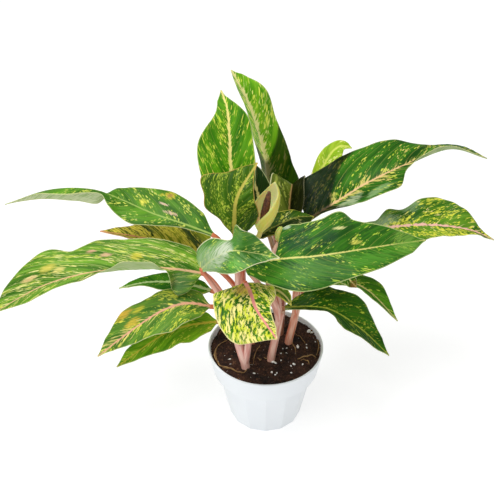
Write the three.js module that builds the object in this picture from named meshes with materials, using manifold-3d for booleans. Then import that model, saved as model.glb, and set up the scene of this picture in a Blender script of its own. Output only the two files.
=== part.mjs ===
// A potted Chinese evergreen: a white nursery pot, its soil, five plantlets of fused canes and
// petioles, 22 variegated leaves with waved margins, a spathe with its spadix, and a flower bud.
// Millimetres, +Z up, with the origin at the centre of the pot's base. -Y is the front.
import * as THREE from "three";
import { mergeVertices } from "three/addons/utils/BufferGeometryUtils.js";
import Module from "manifold-3d";

// ---- Driving dimensions -------------------------------------------------------------------------

const GAP = 0.3; // between pieces that touch on the real plant

const POT_HEIGHT = 85;
const RIM_RADIUS = 57.5;
const RIM_LIP = 2; // width of the rolled rim's top
const BAND_FOOT_Z = 59; // the smooth band under the rim ends here, in a step
const BAND_FOOT_RADIUS = 53;
const BODY_TOP_RADIUS = 48;
const BASE_RADIUS = 36.5;
const FACETS = 14; // flats round the body below the band
const FACET_STEPS = 4; // ring points per flat
const FLOOR = 2.5;
const INNER_NECK_Z = 58; // the inner wall steps in here, as the outer one does
const INNER_NECK_RADIUS = 45;
const INNER_BASE_RADIUS = 33.5;
const DRAIN_HOLES = 6;
const DRAIN_RADIUS = 3;
const DRAIN_CIRCLE = 25;

const SOIL_Z = 81.5; // mean level of the soil
const SOIL_SIDES = 32;
const SOIL_SWELL = 0.9; // how far its surface rises and falls
const ROOTED_DEPTH = 24; // how far the canes stand in the soil
const GRAINS = 14; // the larger perlite grains in the soil's surface

const BLADE_THICKNESS = 0.9; // at a leaf's margin
const RIB_THICKNESS = 1.5; // added along the midrib, at the leaf's base
const BLADE_STEPS = 20; // stations from a leaf's base to its tip
const BLADE_COLUMNS = [-1, -0.5, 0, 0.5, 1]; // left margin, midrib, right margin
const TIP_HALF_WIDTH = 0.7;
const STATIONS = [0.1, 0.3, 0.5, 0.7, 0.9]; // shares of a leaf's length where its halves are given

const PETIOLE_SIDES = 6;
const PETIOLE_STEPS = 8;
const PETIOLE_TOP_RADIUS = 2.3;
const PETIOLE_START = 0.85; // how far up the cane it leaves, where the leaf doesn't say
const PETIOLE_CLIMB = 0.4; // share of its length that it first climbs
const PETIOLE_NECK = 14; // how straight it runs into the blade, where the leaf doesn't say
const MARGIN_LAG = 2.2; // radians that the left margin's wave runs ahead of the right one's
const BASE_ROUNDING = 0.35; // how far a broad base's corners are drawn forward, as a share of it

// The plantlets' canes: where each stands in the soil, where its top is, and its radius.
const PLANTLETS = {
  a: { foot: [-20, -28], top: [-28, -21, 112], radius: 4.6 },
  b: { foot: [5, -17], top: [14, -10, 138], radius: 4.1 },
  c: { foot: [23, 8], top: [31, 16, 122], radius: 4.1 },
  d: { foot: [15, 21], top: [18, 30, 128], radius: 3.4 },
  e: { foot: [-14, 10], top: [-24, 20, 128], radius: 4.4 },
};

// Each leaf's midrib runs through its points, from the petiole to the tip. face is the run of
// directions that its upper side looks in, from the base to the tip. left and right are its halves,
// seen from above with the tip ahead, each with its widths and the angles in degrees that it lifts
// from the midrib, at the places in STATIONS or in stations of its own. base is how wide the two
// halves are at the petiole, where they aren't narrow. ruffle is the height of the margin's wave,
// and waves their number along the leaf. start is how far up the cane the petiole leaves it, lean
// how far it first leans to the right, and neck how straight it runs into the blade.
const LEAVES = [
  {
    name: "leaf_01_upper_left",
    cane: "e",
    midrib: [
      [-50, 25, 203.7], [-78, 35, 209.4], [-110.1, 47, 213.7], [-139.2, 56, 223],
      [-168.4, 62, 231.5], [-210.6, 69, 226], [-257.6, 75, 204.6],
    ],
    face: [
      [0.1, -0.3, 1], [0, -0.4, 0.9], [0, -0.4, 0.9], [0, -0.4, 0.9], [0, -0.3, 0.9],
      [0, -0.3, 0.9], [0, -0.1, 1], [0, 1, 0.4], [0, 1, 0.2], [0, 1, 0.2], [0, 1, 0.2],
      [0, 0.8, 0.5],
    ],
    left: {
      widths: [3, 5, 12, 19, 16, 14, 7, 7, 9, 4],
      lifts: [-40, -30, -10, -5, -5, -5, -60, -85, -80, -60],
      stations: [0.1, 0.2, 0.3, 0.4, 0.5, 0.55, 0.61, 0.68, 0.78, 0.9],
    },
    right: {
      widths: [17, 29, 17, 13, 15, 16, 13, 6],
      lifts: [5, 5, 0, 5, -20, -20, -20, -10],
      stations: [0.1, 0.3, 0.5, 0.56, 0.62, 0.7, 0.8, 0.9],
    },
    wave: { ruffle: 2, waves: 3, phase: 0 },
  },
  {
    name: "leaf_02_mid_left",
    cane: "e",
    midrib: [[-56.9, 33, 163.5], [-84.7, 44, 168.6], [-120, 60, 173.3], [-166.5, 76, 170.7]],
    face: [[0, -0.2, 1], [0, -0.2, 1]],
    left: { widths: [7, 8, 6, 4, 3], lifts: [10, 5, 5, 5, 5] },
    right: { widths: [30, 32, 31, 18, 8], lifts: [10, 10, 10, 10, 10] },
    base: [2.3, 22],
    wave: { ruffle: 2.5, waves: 3, phase: 1 },
  },
  {
    name: "leaf_03_long_left",
    cane: "a",
    midrib: [
      [-60.6, 5, 173.3], [-91.7, 2, 181.1], [-131.4, 0, 182.1], [-172.1, -3, 179],
      [-214.9, -10, 168.2], [-262.1, -20, 143.1],
    ],
    face: [[0, -0.4, 1], [0, -0.4, 1], [-0.3, -0.4, 0.8]],
    left: {
      widths: [22, 29, 24, 4, 10, 12, 10, 4, 8, 11],
      lifts: [-60, -60, -60, 20, 95, 95, 95, 60, 20, 15],
      stations: [0.05, 0.12, 0.17, 0.22, 0.28, 0.36, 0.43, 0.5, 0.62, 0.85],
    },
    right: {
      widths: [25, 28, 31, 30, 26, 34, 28, 17],
      lifts: [10, 15, 15, 15, 10, 10, 5, 5],
      stations: [0.08, 0.24, 0.4, 0.52, 0.64, 0.73, 0.83, 0.93],
    },
    base: [2.3, 20],
    wave: { ruffle: 2.5, waves: 3.5, phase: 2 },
  },
  {
    name: "leaf_04_small_left",
    cane: "e",
    midrib: [[-54, 30, 131], [-82, 34, 137], [-116, 40, 134], [-148, 45, 122]],
    face: [[0, -0.2, 1], [0, -0.2, 1]],
    left: { widths: [9, 12, 11, 6, 2], lifts: [5, 5, 5, 5, 5] },
    right: { widths: [7, 10, 10, 9, 4], lifts: [10, 10, 10, 10, 10] },
    wave: { ruffle: 1.5, waves: 2.5, phase: 0 },
  },
  {
    name: "leaf_05_front_pale",
    cane: "a",
    midrib: [[-61, -20, 198], [-48, -27, 216], [-33, -33, 229], [-17, -37, 231], [11, -42, 228]],
    face: [[0.2, -0.6, 0.8], [0, -0.5, 0.9]],
    left: {
      widths: [17, 20, 12, 32, 12],
      lifts: [0, -10, 0, 75, 50],
      stations: [0.08, 0.25, 0.5, 0.68, 0.86],
    },
    right: { widths: [8, 17, 23, 21, 7], lifts: [5, 5, 5, 5, 5] },
    base: [14, 4],
    wave: { ruffle: 1, waves: 2.5, phase: 1 },
    neck: 3,
  },
  {
    name: "leaf_06_front_hanging",
    cane: "a",
    midrib: [[-20, -24, 185], [-15, -42, 186], [-9, -64, 184], [8, -96, 179]],
    face: [[0, -0.2, 1], [0, -0.4, 0.9]],
    left: { widths: [14, 22, 21, 12, 6], lifts: [0, 5, 5, 5, 5] },
    right: { widths: [30, 35, 37, 38, 33], lifts: [0, 5, 5, 5, 5] },
    wave: { ruffle: 2, waves: 2.5, phase: 0 },
    start: 0.42,
    lean: 9,
  },
  {
    name: "leaf_07_front_right",
    cane: "b",
    midrib: [
      [-19.4, -17, 201.4], [11.6, -31, 218.2], [43.9, -35, 224.7], [81.1, -30, 227.7],
      [114.3, -17, 224.1], [147.3, -4, 219.5],
    ],
    face: [[0, -0.5, 0.9], [0, -0.6, 0.8]],
    left: {
      widths: [3, 29, 32, 33, 37, 29, 20, 9],
      lifts: [5, 5, 10, 10, 25, 10, 10, 5],
      stations: [0.17, 0.21, 0.32, 0.46, 0.54, 0.61, 0.75, 0.9],
    },
    right: { widths: [20, 34, 28, 21, 11], lifts: [0, 5, 5, 5, 5] },
    base: [2.3, 12],
    wave: { ruffle: 2, waves: 3, phase: 3 },
  },
  {
    name: "leaf_08_right",
    cane: "c",
    midrib: [[52, 40, 180], [98, 44, 194], [150, 48, 199], [195, 46, 195], [223, 45, 183]],
    face: [[0, -0.3, 1], [0, -0.3, 1]],
    left: {
      widths: [10, 12, 20, 18, 26, 35, 23, 7],
      lifts: [10, 5, 15, 0, 15, 5, 10, 5],
      stations: [0.1, 0.3, 0.36, 0.43, 0.5, 0.59, 0.7, 0.87],
    },
    right: { widths: [18, 19, 22, 13, 5], lifts: [10, 10, 5, 25, 25] },
    wave: { ruffle: 3.5, waves: 3.5, phase: 2 },
  },
  {
    name: "leaf_09_upper_right",
    cane: "c",
    midrib: [
      [40.2, 43, 208.3], [67.5, 57, 219.6], [97.7, 70, 233], [140.6, 84, 248.1],
      [180.6, 98, 255.2], [218.9, 105, 239.1],
    ],
    face: [[-0.1, -0.6, 0.8], [0, -0.5, 0.9], [0, -0.2, 0.9], [0, 0.25, 0.8], [0, 0.1, 0.8]],
    left: {
      widths: [37, 35, 40, 36, 21, 12],
      lifts: [5, 10, 5, 5, 5, 5],
      stations: [0.1, 0.3, 0.5, 0.6, 0.7, 0.9],
    },
    right: {
      widths: [4, 15, 23, 25, 7, 5, 4, 4],
      lifts: [30, 15, 15, 10, 10, 50, 50, 20],
      stations: [0.1, 0.3, 0.4, 0.51, 0.565, 0.62, 0.7, 0.9],
    },
    base: [28, 2.3],
    wave: { ruffle: 2.5, waves: 3, phase: 0 },
  },
  {
    name: "leaf_10_lime_behind",
    cane: "d",
    midrib: [
      [46.1, 84, 197], [51.8, 96, 221.4], [63.3, 105, 242.6], [74.2, 110, 250],
      [85.2, 110, 247.6],
    ],
    face: [[-0.3, -0.6, 0.6], [-0.2, -0.4, 0.9]],
    left: { widths: [8, 8, 10, 7, 4], lifts: [10, 10, 10, 10, 10] },
    right: { widths: [12, 18, 16, 9, 3], lifts: [10, 10, 10, 10, 10] },
    wave: { ruffle: 1.5, waves: 2.5, phase: 0 },
  },
  {
    name: "leaf_11_centre_back",
    cane: "d",
    midrib: [[22, 46, 206], [23, 54, 222], [25, 66, 232], [26, 77, 225], [28, 84, 203]],
    face: [[0, -0.7, 0.6], [0, -0.2, 1], [0, 0.8, 0.3]],
    left: { widths: [12, 22, 24, 17, 8], lifts: [25, 30, 30, 20, 20] },
    right: { widths: [12, 19, 18, 14, 8], lifts: [30, 45, 50, 30, 20] },
    wave: { ruffle: 2, waves: 3, phase: 0 },
  },
  {
    name: "leaf_12_top",
    cane: "d",
    midrib: [
      [2.3, 92, 197.5], [1.7, 95, 219.6], [-1, 98, 244.8], [-8.9, 103, 276.1],
      [-17.6, 108, 302.1], [-26.2, 112, 318.4], [-33.7, 116, 331.3],
    ],
    face: [[0.3, -0.9, 0.4], [0.3, -0.8, 0.5]],
    left: { widths: [8, 12, 12, 9, 5], lifts: [-78, -78, -78, -78, -78] },
    right: { widths: [31, 25, 21, 20, 8], lifts: [20, 20, 20, 20, 10] },
    wave: { ruffle: 2, waves: 3, phase: 1 },
  },
  {
    name: "leaf_13_upper_centre",
    cane: "e",
    midrib: [
      [-31.7, 22, 222.3], [-32.5, 30, 252.2], [-33.7, 40, 279], [-35, 52, 306.2],
      [-36.8, 62, 321.5], [-42.4, 75, 332.9],
    ],
    face: [[0, -0.9, 0.5], [0, -0.8, 0.5]],
    left: { widths: [21, 28, 30, 15, 7], lifts: [5, 5, 5, 5, 5] },
    right: { widths: [16, 23, 22, 18, 4], lifts: [5, 5, 5, 5, 5] },
    wave: { ruffle: 2, waves: 3, phase: 0 },
  },
  {
    name: "leaf_14_centre_front",
    cane: "a",
    midrib: [[-29, -3, 221], [-30, -8, 243], [-27, -3, 268], [-9, 22, 288]],
    face: [[0, -0.9, 0.4], [-0.2, -0.7, 0.7]],
    left: {
      widths: [3, 10, 15, 27, 30, 37, 20, 11],
      lifts: [5, 5, 5, 5, 5, 5, 5, 5],
      stations: [0.1, 0.3, 0.4, 0.5, 0.6, 0.7, 0.8, 0.9],
    },
    right: { widths: [22, 24, 22, 16, 4], lifts: [-25, -28, -22, -5, 5] },
    base: [2.3, 18],
    wave: { ruffle: 1, waves: 2.5, phase: 0 },
  },
  {
    name: "leaf_15_centre_behind",
    cane: "d",
    midrib: [[-2, 50, 205], [-8, 58, 228], [-14, 66, 246], [-20, 74, 258]],
    face: [[0, -0.7, 0.7], [0, -0.6, 0.7]],
    left: { widths: [9, 14, 13, 10, 4], lifts: [5, 5, 5, 5, 5] },
    right: { widths: [9, 14, 13, 10, 4], lifts: [5, 5, 5, 5, 5] },
    wave: { ruffle: 1.5, waves: 2.5, phase: 0 },
  },
  {
    name: "leaf_16_brown_tip",
    cane: "c",
    midrib: [[36, 14, 160], [55, 12, 172], [73, 8, 170], [87, 2, 158]],
    face: [[0, -0.2, 1], [0.3, -0.7, 0.7]],
    left: { widths: [9, 13, 12, 9, 6], lifts: [10, 10, 10, 5, 0] },
    right: { widths: [9, 13, 12, 9, 6], lifts: [10, 10, 10, 5, 0] },
    wave: { ruffle: 1.5, waves: 2.5, phase: 0 },
  },
  {
    name: "leaf_17_edge_on",
    cane: "b",
    midrib: [
      [-9, 15, 208.5], [-1, 19, 212.5], [12.7, 25, 216.7], [28.9, 31, 220.5], [45.4, 36, 217.5],
    ],
    face: [[0, 0, 1], [0, 0.1, 1]],
    left: { widths: [5, 8, 14, 11, 6], lifts: [5, 15, 25, 15, 5] },
    right: { widths: [5, 6, 11, 14, 9], lifts: [-30, -35, -45, -50, -30] },
    wave: { ruffle: 1, waves: 2.5, phase: 0 },
  },
  {
    name: "leaf_18_lower_left",
    cane: "e",
    midrib: [[-54, 0, 136], [-78, -4, 143], [-103, -10, 137], [-132, -22, 122], [-163, -35, 102]],
    face: [[0, -0.3, 1], [-0.2, -0.4, 0.9]],
    left: { widths: [14, 24, 25, 17, 6], lifts: [5, 5, 5, 5, 5] },
    right: { widths: [13, 18, 20, 22, 11], lifts: [5, 5, 5, 5, 5] },
    wave: { ruffle: 2.5, waves: 3, phase: 0 },
  },
  {
    name: "leaf_19_bottom_left",
    cane: "e",
    midrib: [[-48, 12, 106], [-76, 6, 106], [-103, -2, 100], [-147, -25, 79]],
    face: [[0, -0.3, 1], [-0.2, -0.4, 0.9]],
    left: { widths: [11, 18, 19, 17, 7], lifts: [5, 5, 5, 5, 5] },
    right: { widths: [12, 18, 18, 15, 9], lifts: [5, 5, 5, 5, 5] },
    wave: { ruffle: 2, waves: 3, phase: 2 },
  },
  {
    name: "leaf_20_lower_right",
    cane: "b",
    midrib: [[17, -6, 139], [44, -8, 142], [66, -8, 136], [94, -10, 114], [122, -14, 84]],
    face: [[0.1, -0.3, 1], [0.3, -0.4, 0.9]],
    left: { widths: [12, 23, 26, 26, 9], lifts: [5, 5, 5, 5, 5] },
    right: { widths: [9, 15, 20, 16, 7], lifts: [40, 50, 35, 25, 20] },
    wave: { ruffle: 2.5, waves: 3, phase: 0 },
  },
  {
    name: "leaf_21_right_behind",
    cane: "c",
    midrib: [[50, 36, 136], [76, 38, 138], [104, 34, 126], [133, 22, 98]],
    face: [[0.1, -0.2, 1], [0.4, -0.4, 0.9]],
    left: { widths: [10, 15, 15, 16, 7], lifts: [5, 5, 5, 5, 5] },
    right: { widths: [8, 11, 10, 8, 4], lifts: [20, 30, 30, 30, 20] },
    wave: { ruffle: 2, waves: 2.5, phase: 0 },
  },
  {
    name: "leaf_22_young_front",
    cane: "b",
    midrib: [[2, -28, 181], [10, -30, 180], [18, -31, 173], [23, -31, 163]],
    face: [[0, -0.4, 1], [0, -0.4, 1]],
    left: { widths: [5, 7, 7, 5, 2], lifts: [25, 25, 25, 25, 25] },
    right: { widths: [5, 7, 7, 5, 2], lifts: [25, 25, 25, 25, 25] },
    wave: { ruffle: 0.5, waves: 2.5, phase: 0 },
    neck: 3,
  },
];

// The open flower: a boat-shaped spathe, shaped as a leaf is, round a brown spadix.
const SPATHE = {
  midrib: [[-3.8, 11.2, 222], [2.2, 16.2, 228], [8.3, 21, 241.4], [11.5, 23.5, 254], [7.2, 20, 269]],
  face: [[-0.75, -0.6, 0.4], [-0.75, -0.6, 0.4]],
  left: { widths: [7, 14, 15, 11, 4], lifts: [55, 55, 50, 40, 30] },
  right: { widths: [7, 14, 15, 11, 4], lifts: [55, 60, 55, 40, 30] },
  wave: { ruffle: 0, waves: 0, phase: 0 },
};
const SPADIX = { route: [[-6, 7, 222.6], [-2.6, 9.6, 241], [2, 12.5, 262]], radius: 3.6 };
const BUD = { route: [[11, 0, 215], [11.8, 1.2, 222], [13.2, 3, 229.5]], radius: 3.9 };

// The flower's and the bud's stalks, which grow from a cane as petioles do.
const STALKS = [
  {
    cane: "e",
    route: [[-22, 19, 150], [-22, 14, 190], [-15, 7, 208], [-8, 6, 216], [-6, 7, 222]],
    radius: 2.4,
  },
  {
    cane: "b",
    route: [[14, -10, 136], [8, -6, 180], [6, -4, 202], [11, 0, 214.3]],
    radius: 1.9,
  },
];

// ---- Shapes -------------------------------------------------------------------------------------

const toVector = ([x, y, z]) => new THREE.Vector3(x, y, z);
const mix = THREE.MathUtils.lerp;
const toRadians = THREE.MathUtils.degToRad;

// The value at t of a quantity given at its places, on a smooth curve through them.
function valueAt(places, values, t) {
  const curve = new THREE.SplineCurve(places.map((place, i) => new THREE.Vector2(place, values[i])));
  const step = places.findIndex((place) => place >= t);
  const share = (t - places[step - 1]) / (places[step] - places[step - 1]);
  return t <= places[0] ? values[0] : curve.getPoint((step - 1 + share) / (places.length - 1)).y;
}

function middleOf(points) {
  const sum = new THREE.Vector3();
  for (const point of points) sum.add(point);
  return sum.divideScalar(points.length);
}

// A closed skin over rings of points, with a fan over each end. Seen from the last ring, the
// rings run anticlockwise.
function loft(rings) {
  const count = rings[0].length;
  const points = [...rings.flat(), middleOf(rings[0]), middleOf(rings.at(-1))];
  const lastRing = (rings.length - 1) * count;
  const faces = [];
  for (let i = 0; i < count; i++) {
    const next = (i + 1) % count;
    for (let start = 0; start < lastRing; start += count) {
      faces.push(start + i, start + next, start + next + count);
      faces.push(start + i, start + next + count, start + i + count);
    }
    faces.push(next, i, points.length - 2);
    faces.push(lastRing + i, lastRing + next, points.length - 1);
  }
  return new THREE.BufferGeometry().setFromPoints(points).setIndex(faces);
}

// A ring of a turned shape round the Z axis.
function turnedRing(radius, z, count) {
  const ring = [];
  for (let i = 0; i < count; i++) {
    const angle = (2 * Math.PI * i) / count - Math.PI / 2;
    ring.push(new THREE.Vector3(radius * Math.cos(angle), radius * Math.sin(angle), z));
  }
  return ring;
}

// The same ring with flats, whose corners keep the radius.
function facetedRing(radius, z) {
  const flat = (2 * Math.PI) / FACETS;
  return turnedRing(radius, z, FACETS * FACET_STEPS).map((point, i) => {
    const fromMiddle = ((i % FACET_STEPS) / FACET_STEPS - 0.5) * flat;
    const scale = Math.cos(flat / 2) / Math.cos(fromMiddle);
    return new THREE.Vector3(point.x * scale, point.y * scale, z);
  });
}

// A tapering tube along a curve, whose radius is given by a function of its place.
function tube(curve, radiusAt, steps, sides) {
  const frames = curve.computeFrenetFrames(steps);
  const rings = [];
  for (let row = 0; row <= steps; row++) {
    const centre = curve.getPointAt(row / steps);
    const radius = radiusAt(row / steps);
    const ring = [];
    for (let i = 0; i < sides; i++) {
      const angle = (2 * Math.PI * i) / sides;
      const out = frames.normals[row].clone().multiplyScalar(Math.cos(angle) * radius);
      out.addScaledVector(frames.binormals[row], Math.sin(angle) * radius);
      ring.push(out.add(centre));
    }
    rings.push(ring);
  }
  return loft(rings);
}

// ---- Joining and cutting ------------------------------------------------------------------------

const wasm = await Module();
wasm.setup();

function toSolid(geometry) {
  const bare = new THREE.BufferGeometry();
  bare.setAttribute("position", geometry.getAttribute("position"));
  bare.setIndex(geometry.index);
  const merged = mergeVertices(bare, 1e-4);
  return new wasm.Manifold(
    new wasm.Mesh({
      numProp: 3,
      vertProperties: new Float32Array(merged.attributes.position.array),
      triVerts: new Uint32Array(merged.index.array),
    }),
  );
}

function toGeometry(solid) {
  const { vertProperties, triVerts } = solid.getMesh();
  const geometry = new THREE.BufferGeometry();
  geometry.setAttribute("position", new THREE.BufferAttribute(vertProperties, 3));
  geometry.setIndex(new THREE.BufferAttribute(triVerts, 1));
  return geometry;
}

function fuse(geometries) {
  return geometries.map(toSolid).reduce((whole, piece) => whole.add(piece));
}

// ---- The leaves ---------------------------------------------------------------------------------

function smoothCurve(points) {
  return new THREE.CatmullRomCurve3(points.map(toVector), false, "catmullrom");
}

// The middle of the blade's thickness at a place along the leaf and across it, with the
// direction that its upper side looks in.
function bladePoint(leaf, curve, t, across) {
  const tangent = curve.getTangent(t);
  const up = smoothCurve(leaf.face).getPoint(t);
  up.addScaledVector(tangent, -up.dot(tangent)).normalize();
  const right = tangent.clone().cross(up);
  const { widths, lifts, stations } = across < 0 ? leaf.left : leaf.right;
  const reach = Math.abs(across);
  const places = [0, ...(stations ?? STATIONS), 1];
  const baseWidth = leaf.base?.[across < 0 ? 0 : 1] ?? PETIOLE_TOP_RADIUS;
  const width = valueAt(places, [baseWidth, ...widths, TIP_HALF_WIDTH], t);
  const lift = toRadians(valueAt(places, [lifts[0], ...lifts, lifts.at(-1)], t));
  const rounding = BASE_ROUNDING * baseWidth * reach * reach * Math.max(0, 1 - t / 0.2) ** 2;
  const { ruffle, waves, phase } = leaf.wave;
  const turn = 2 * Math.PI * waves * t + phase + (across < 0 ? MARGIN_LAG : 0);
  const wave = ruffle * reach * reach * Math.sin(turn) * Math.sin(Math.PI * t);
  const point = curve.getPoint(t).addScaledVector(tangent, rounding);
  point.addScaledVector(right, Math.sign(across) * reach * width * Math.cos(lift));
  point.addScaledVector(up, reach * width * Math.sin(lift) + wave);
  return { point, up };
}

// One ring of the blade: across the upper side from left to right, and back underneath.
function bladeRing(leaf, curve, t) {
  const above = [];
  const below = [];
  for (const across of BLADE_COLUMNS) {
    const { point, up } = bladePoint(leaf, curve, t, across);
    const rib = across === 0 ? RIB_THICKNESS * (1 - t) : 0;
    above.push(point.clone().addScaledVector(up, BLADE_THICKNESS / 2));
    below.unshift(point.clone().addScaledVector(up, -BLADE_THICKNESS / 2 - rib));
  }
  return [...above, ...below];
}

function blade(leaf) {
  const curve = smoothCurve(leaf.midrib);
  const rings = [];
  for (let row = 0; row <= BLADE_STEPS; row++) rings.push(bladeRing(leaf, curve, row / BLADE_STEPS));
  return bladeSkin(rings);
}

// The skin of a blade. Both faces are split along the same diagonals, so that a waved blade
// keeps its thickness everywhere.
function bladeSkin(rings) {
  const columns = BLADE_COLUMNS.length;
  const count = 2 * columns;
  const under = (column) => count - 1 - column;
  const at = (row, place) => row * count + place;
  const faces = [];
  for (let row = 0; row + 1 < rings.length; row++) {
    for (let c = 0; c + 1 < columns; c++) {
      faces.push(at(row, c), at(row, c + 1), at(row + 1, c + 1));
      faces.push(at(row, c), at(row + 1, c + 1), at(row + 1, c));
      faces.push(at(row, under(c)), at(row + 1, under(c + 1)), at(row, under(c + 1)));
      faces.push(at(row, under(c)), at(row + 1, under(c)), at(row + 1, under(c + 1)));
    }
    for (const [upper, lower] of [[columns - 1, columns], [count - 1, 0]]) {
      faces.push(at(row, upper), at(row, lower), at(row + 1, lower));
      faces.push(at(row, upper), at(row + 1, lower), at(row + 1, upper));
    }
  }
  for (let c = 0; c + 1 < columns; c++) {
    const last = rings.length - 1;
    faces.push(at(0, c), at(0, under(c)), at(0, under(c + 1)));
    faces.push(at(0, c), at(0, under(c + 1)), at(0, c + 1));
    faces.push(at(last, c), at(last, under(c + 1)), at(last, under(c)));
    faces.push(at(last, c), at(last, c + 1), at(last, under(c + 1)));
  }
  return new THREE.BufferGeometry().setFromPoints(rings.flat()).setIndex(faces);
}

// ---- The plantlets ------------------------------------------------------------------------------

function canePath(plantlet) {
  const [x, y] = plantlet.foot;
  const top = toVector(plantlet.top);
  const root = new THREE.Vector3(x, y, SOIL_Z - ROOTED_DEPTH);
  const collar = new THREE.Vector3(x, y, SOIL_Z);
  return new THREE.CatmullRomCurve3([root, collar, collar.clone().lerp(top, 0.5), top]);
}

// A petiole leaves the cane, climbs, and bends out into the blade's midrib.
function petiole(leaf, plantlet) {
  const curve = smoothCurve(leaf.midrib);
  const outward = curve.getTangent(0);
  const end = curve.getPoint(0).addScaledVector(outward, -GAP);
  const start = canePath(plantlet).getPoint(leaf.start ?? PETIOLE_START);
  const rise = new THREE.Vector3(leaf.lean ?? 0, 0, PETIOLE_CLIMB * start.distanceTo(end));
  const bend = end.clone().addScaledVector(outward, -(leaf.neck ?? PETIOLE_NECK));
  const path = new THREE.CubicBezierCurve3(start, start.clone().add(rise), bend, end);
  const radiusAt = (t) => mix(plantlet.radius * 0.85, PETIOLE_TOP_RADIUS, Math.sqrt(t));
  return tube(path, radiusAt, PETIOLE_STEPS, PETIOLE_SIDES);
}

function plantletStem(key) {
  const plantlet = PLANTLETS[key];
  const cane = tube(canePath(plantlet), (t) => plantlet.radius * (1 - 0.1 * t), 8, 8);
  const petioles = LEAVES.filter((leaf) => leaf.cane === key).map((leaf) => petiole(leaf, plantlet));
  const stalks = STALKS.filter((stalk) => stalk.cane === key).map(({ route, radius }) =>
    tube(smoothCurve(route), () => radius, 10, PETIOLE_SIDES),
  );
  return toGeometry(fuse([cane, ...petioles, ...stalks]));
}

// A spindle along its route: the spadix and the bud.
function spindle({ route, radius }) {
  const radiusAt = (t) => Math.max(0.6, radius * Math.sqrt(Math.sin(Math.PI * (0.08 + 0.88 * t))));
  return tube(smoothCurve(route), radiusAt, 8, 8);
}

// ---- The pot and the soil -----------------------------------------------------------------------

function potBody() {
  const round = FACETS * FACET_STEPS;
  const rings = [
    facetedRing(BASE_RADIUS - 1, 0),
    facetedRing(BASE_RADIUS, 1),
    facetedRing(BODY_TOP_RADIUS, BAND_FOOT_Z),
    turnedRing(BAND_FOOT_RADIUS, BAND_FOOT_Z + 0.5, round),
    turnedRing(RIM_RADIUS, POT_HEIGHT - 1, round),
    turnedRing(RIM_RADIUS - 0.4, POT_HEIGHT, round),
    turnedRing(RIM_RADIUS - RIM_LIP, POT_HEIGHT, round),
    turnedRing(INNER_NECK_RADIUS, INNER_NECK_Z, round),
    turnedRing(INNER_BASE_RADIUS, FLOOR, round),
  ];
  let pot = toSolid(loft(rings));
  for (let i = 0; i < DRAIN_HOLES; i++) {
    const angle = (2 * Math.PI * i) / DRAIN_HOLES;
    const hole = new THREE.CylinderGeometry(DRAIN_RADIUS, DRAIN_RADIUS, 3 * FLOOR, 12);
    hole.rotateX(Math.PI / 2);
    hole.translate(DRAIN_CIRCLE * Math.cos(angle), DRAIN_CIRCLE * Math.sin(angle), FLOOR / 2);
    pot = pot.subtract(toSolid(hole));
  }
  return toGeometry(pot);
}

// The inner wall's radius above its neck.
const innerRadius = (z) =>
  mix(INNER_NECK_RADIUS, RIM_RADIUS - RIM_LIP, (z - INNER_NECK_Z) / (POT_HEIGHT - INNER_NECK_Z));

const soilLevel = (x, y) =>
  SOIL_Z + SOIL_SWELL * (Math.sin(x / 9 + 1) * Math.cos(y / 7) + 0.5 * Math.sin((x + y) / 4));

function soilBody() {
  const edge = SOIL_Z - 2;
  const outer = innerRadius(edge) - 2 * GAP;
  const rings = [
    turnedRing(INNER_BASE_RADIUS - GAP, FLOOR + GAP, SOIL_SIDES),
    turnedRing(INNER_NECK_RADIUS - 2 * GAP, INNER_NECK_Z, SOIL_SIDES),
    turnedRing(outer, edge, SOIL_SIDES),
  ];
  for (const share of [0.97, 0.8, 0.6, 0.4, 0.2]) {
    const ring = turnedRing(outer * share, 0, SOIL_SIDES);
    for (const point of ring) point.z = soilLevel(point.x, point.y);
    rings.push(ring);
  }
  let soil = toSolid(loft(rings));
  for (const [i, grain] of grains().entries()) {
    const lump = new THREE.OctahedronGeometry(grain.size, 0).rotateX(i).rotateZ(2 * i);
    lump.translate(grain.x, grain.y, soilLevel(grain.x, grain.y));
    soil = soil.add(toSolid(lump));
  }
  for (const plantlet of Object.values(PLANTLETS)) {
    const hole = tube(canePath(plantlet), () => plantlet.radius + 2 * GAP, 8, 8);
    soil = soil.subtract(toSolid(hole));
  }
  return toGeometry(soil);
}

// Perlite grains lie about the soil on a sunflower spiral, clear of the canes and the wall.
function grains() {
  const turn = Math.PI * (3 - Math.sqrt(5));
  const places = [];
  for (let i = 1; places.length < GRAINS; i++) {
    const radius = 9 * Math.sqrt(i);
    const x = radius * Math.cos(i * turn);
    const y = radius * Math.sin(i * turn);
    const clear = Object.values(PLANTLETS).every(({ foot }) => Math.hypot(x - foot[0], y - foot[1]) > 9);
    if (clear) places.push({ x, y, size: 1.6 + 0.5 * Math.sin(3 * i) });
  }
  return places;
}

// ---- The assembly -------------------------------------------------------------------------------

const FINISHES = {
  pot: { color: 0xeceff2, roughness: 0.4 },
  soil: { color: 0x2c1e18, roughness: 0.95 },
  stem: { color: 0xd89a86, roughness: 0.5 },
  leaf: { color: 0x3f7a22, roughness: 0.4 },
  spathe: { color: 0xe6dc96, roughness: 0.5 },
  spadix: { color: 0x8a5a30, roughness: 0.7 },
};

const plant = new THREE.Group();

function place(name, geometry, finish) {
  const mesh = new THREE.Mesh(geometry, new THREE.MeshStandardMaterial(FINISHES[finish]));
  mesh.name = name;
  plant.add(mesh);
}

place("pot", potBody(), "pot");
place("soil", soilBody(), "soil");
for (const key of Object.keys(PLANTLETS)) place(`stem_${key}`, plantletStem(key), "stem");
for (const leaf of LEAVES) place(leaf.name, blade(leaf), "leaf");
place("spathe", blade(SPATHE), "spathe");
place("spadix", spindle(SPADIX), "spadix");
place("flower_bud", spindle(BUD), "spathe");

export default plant;
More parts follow.
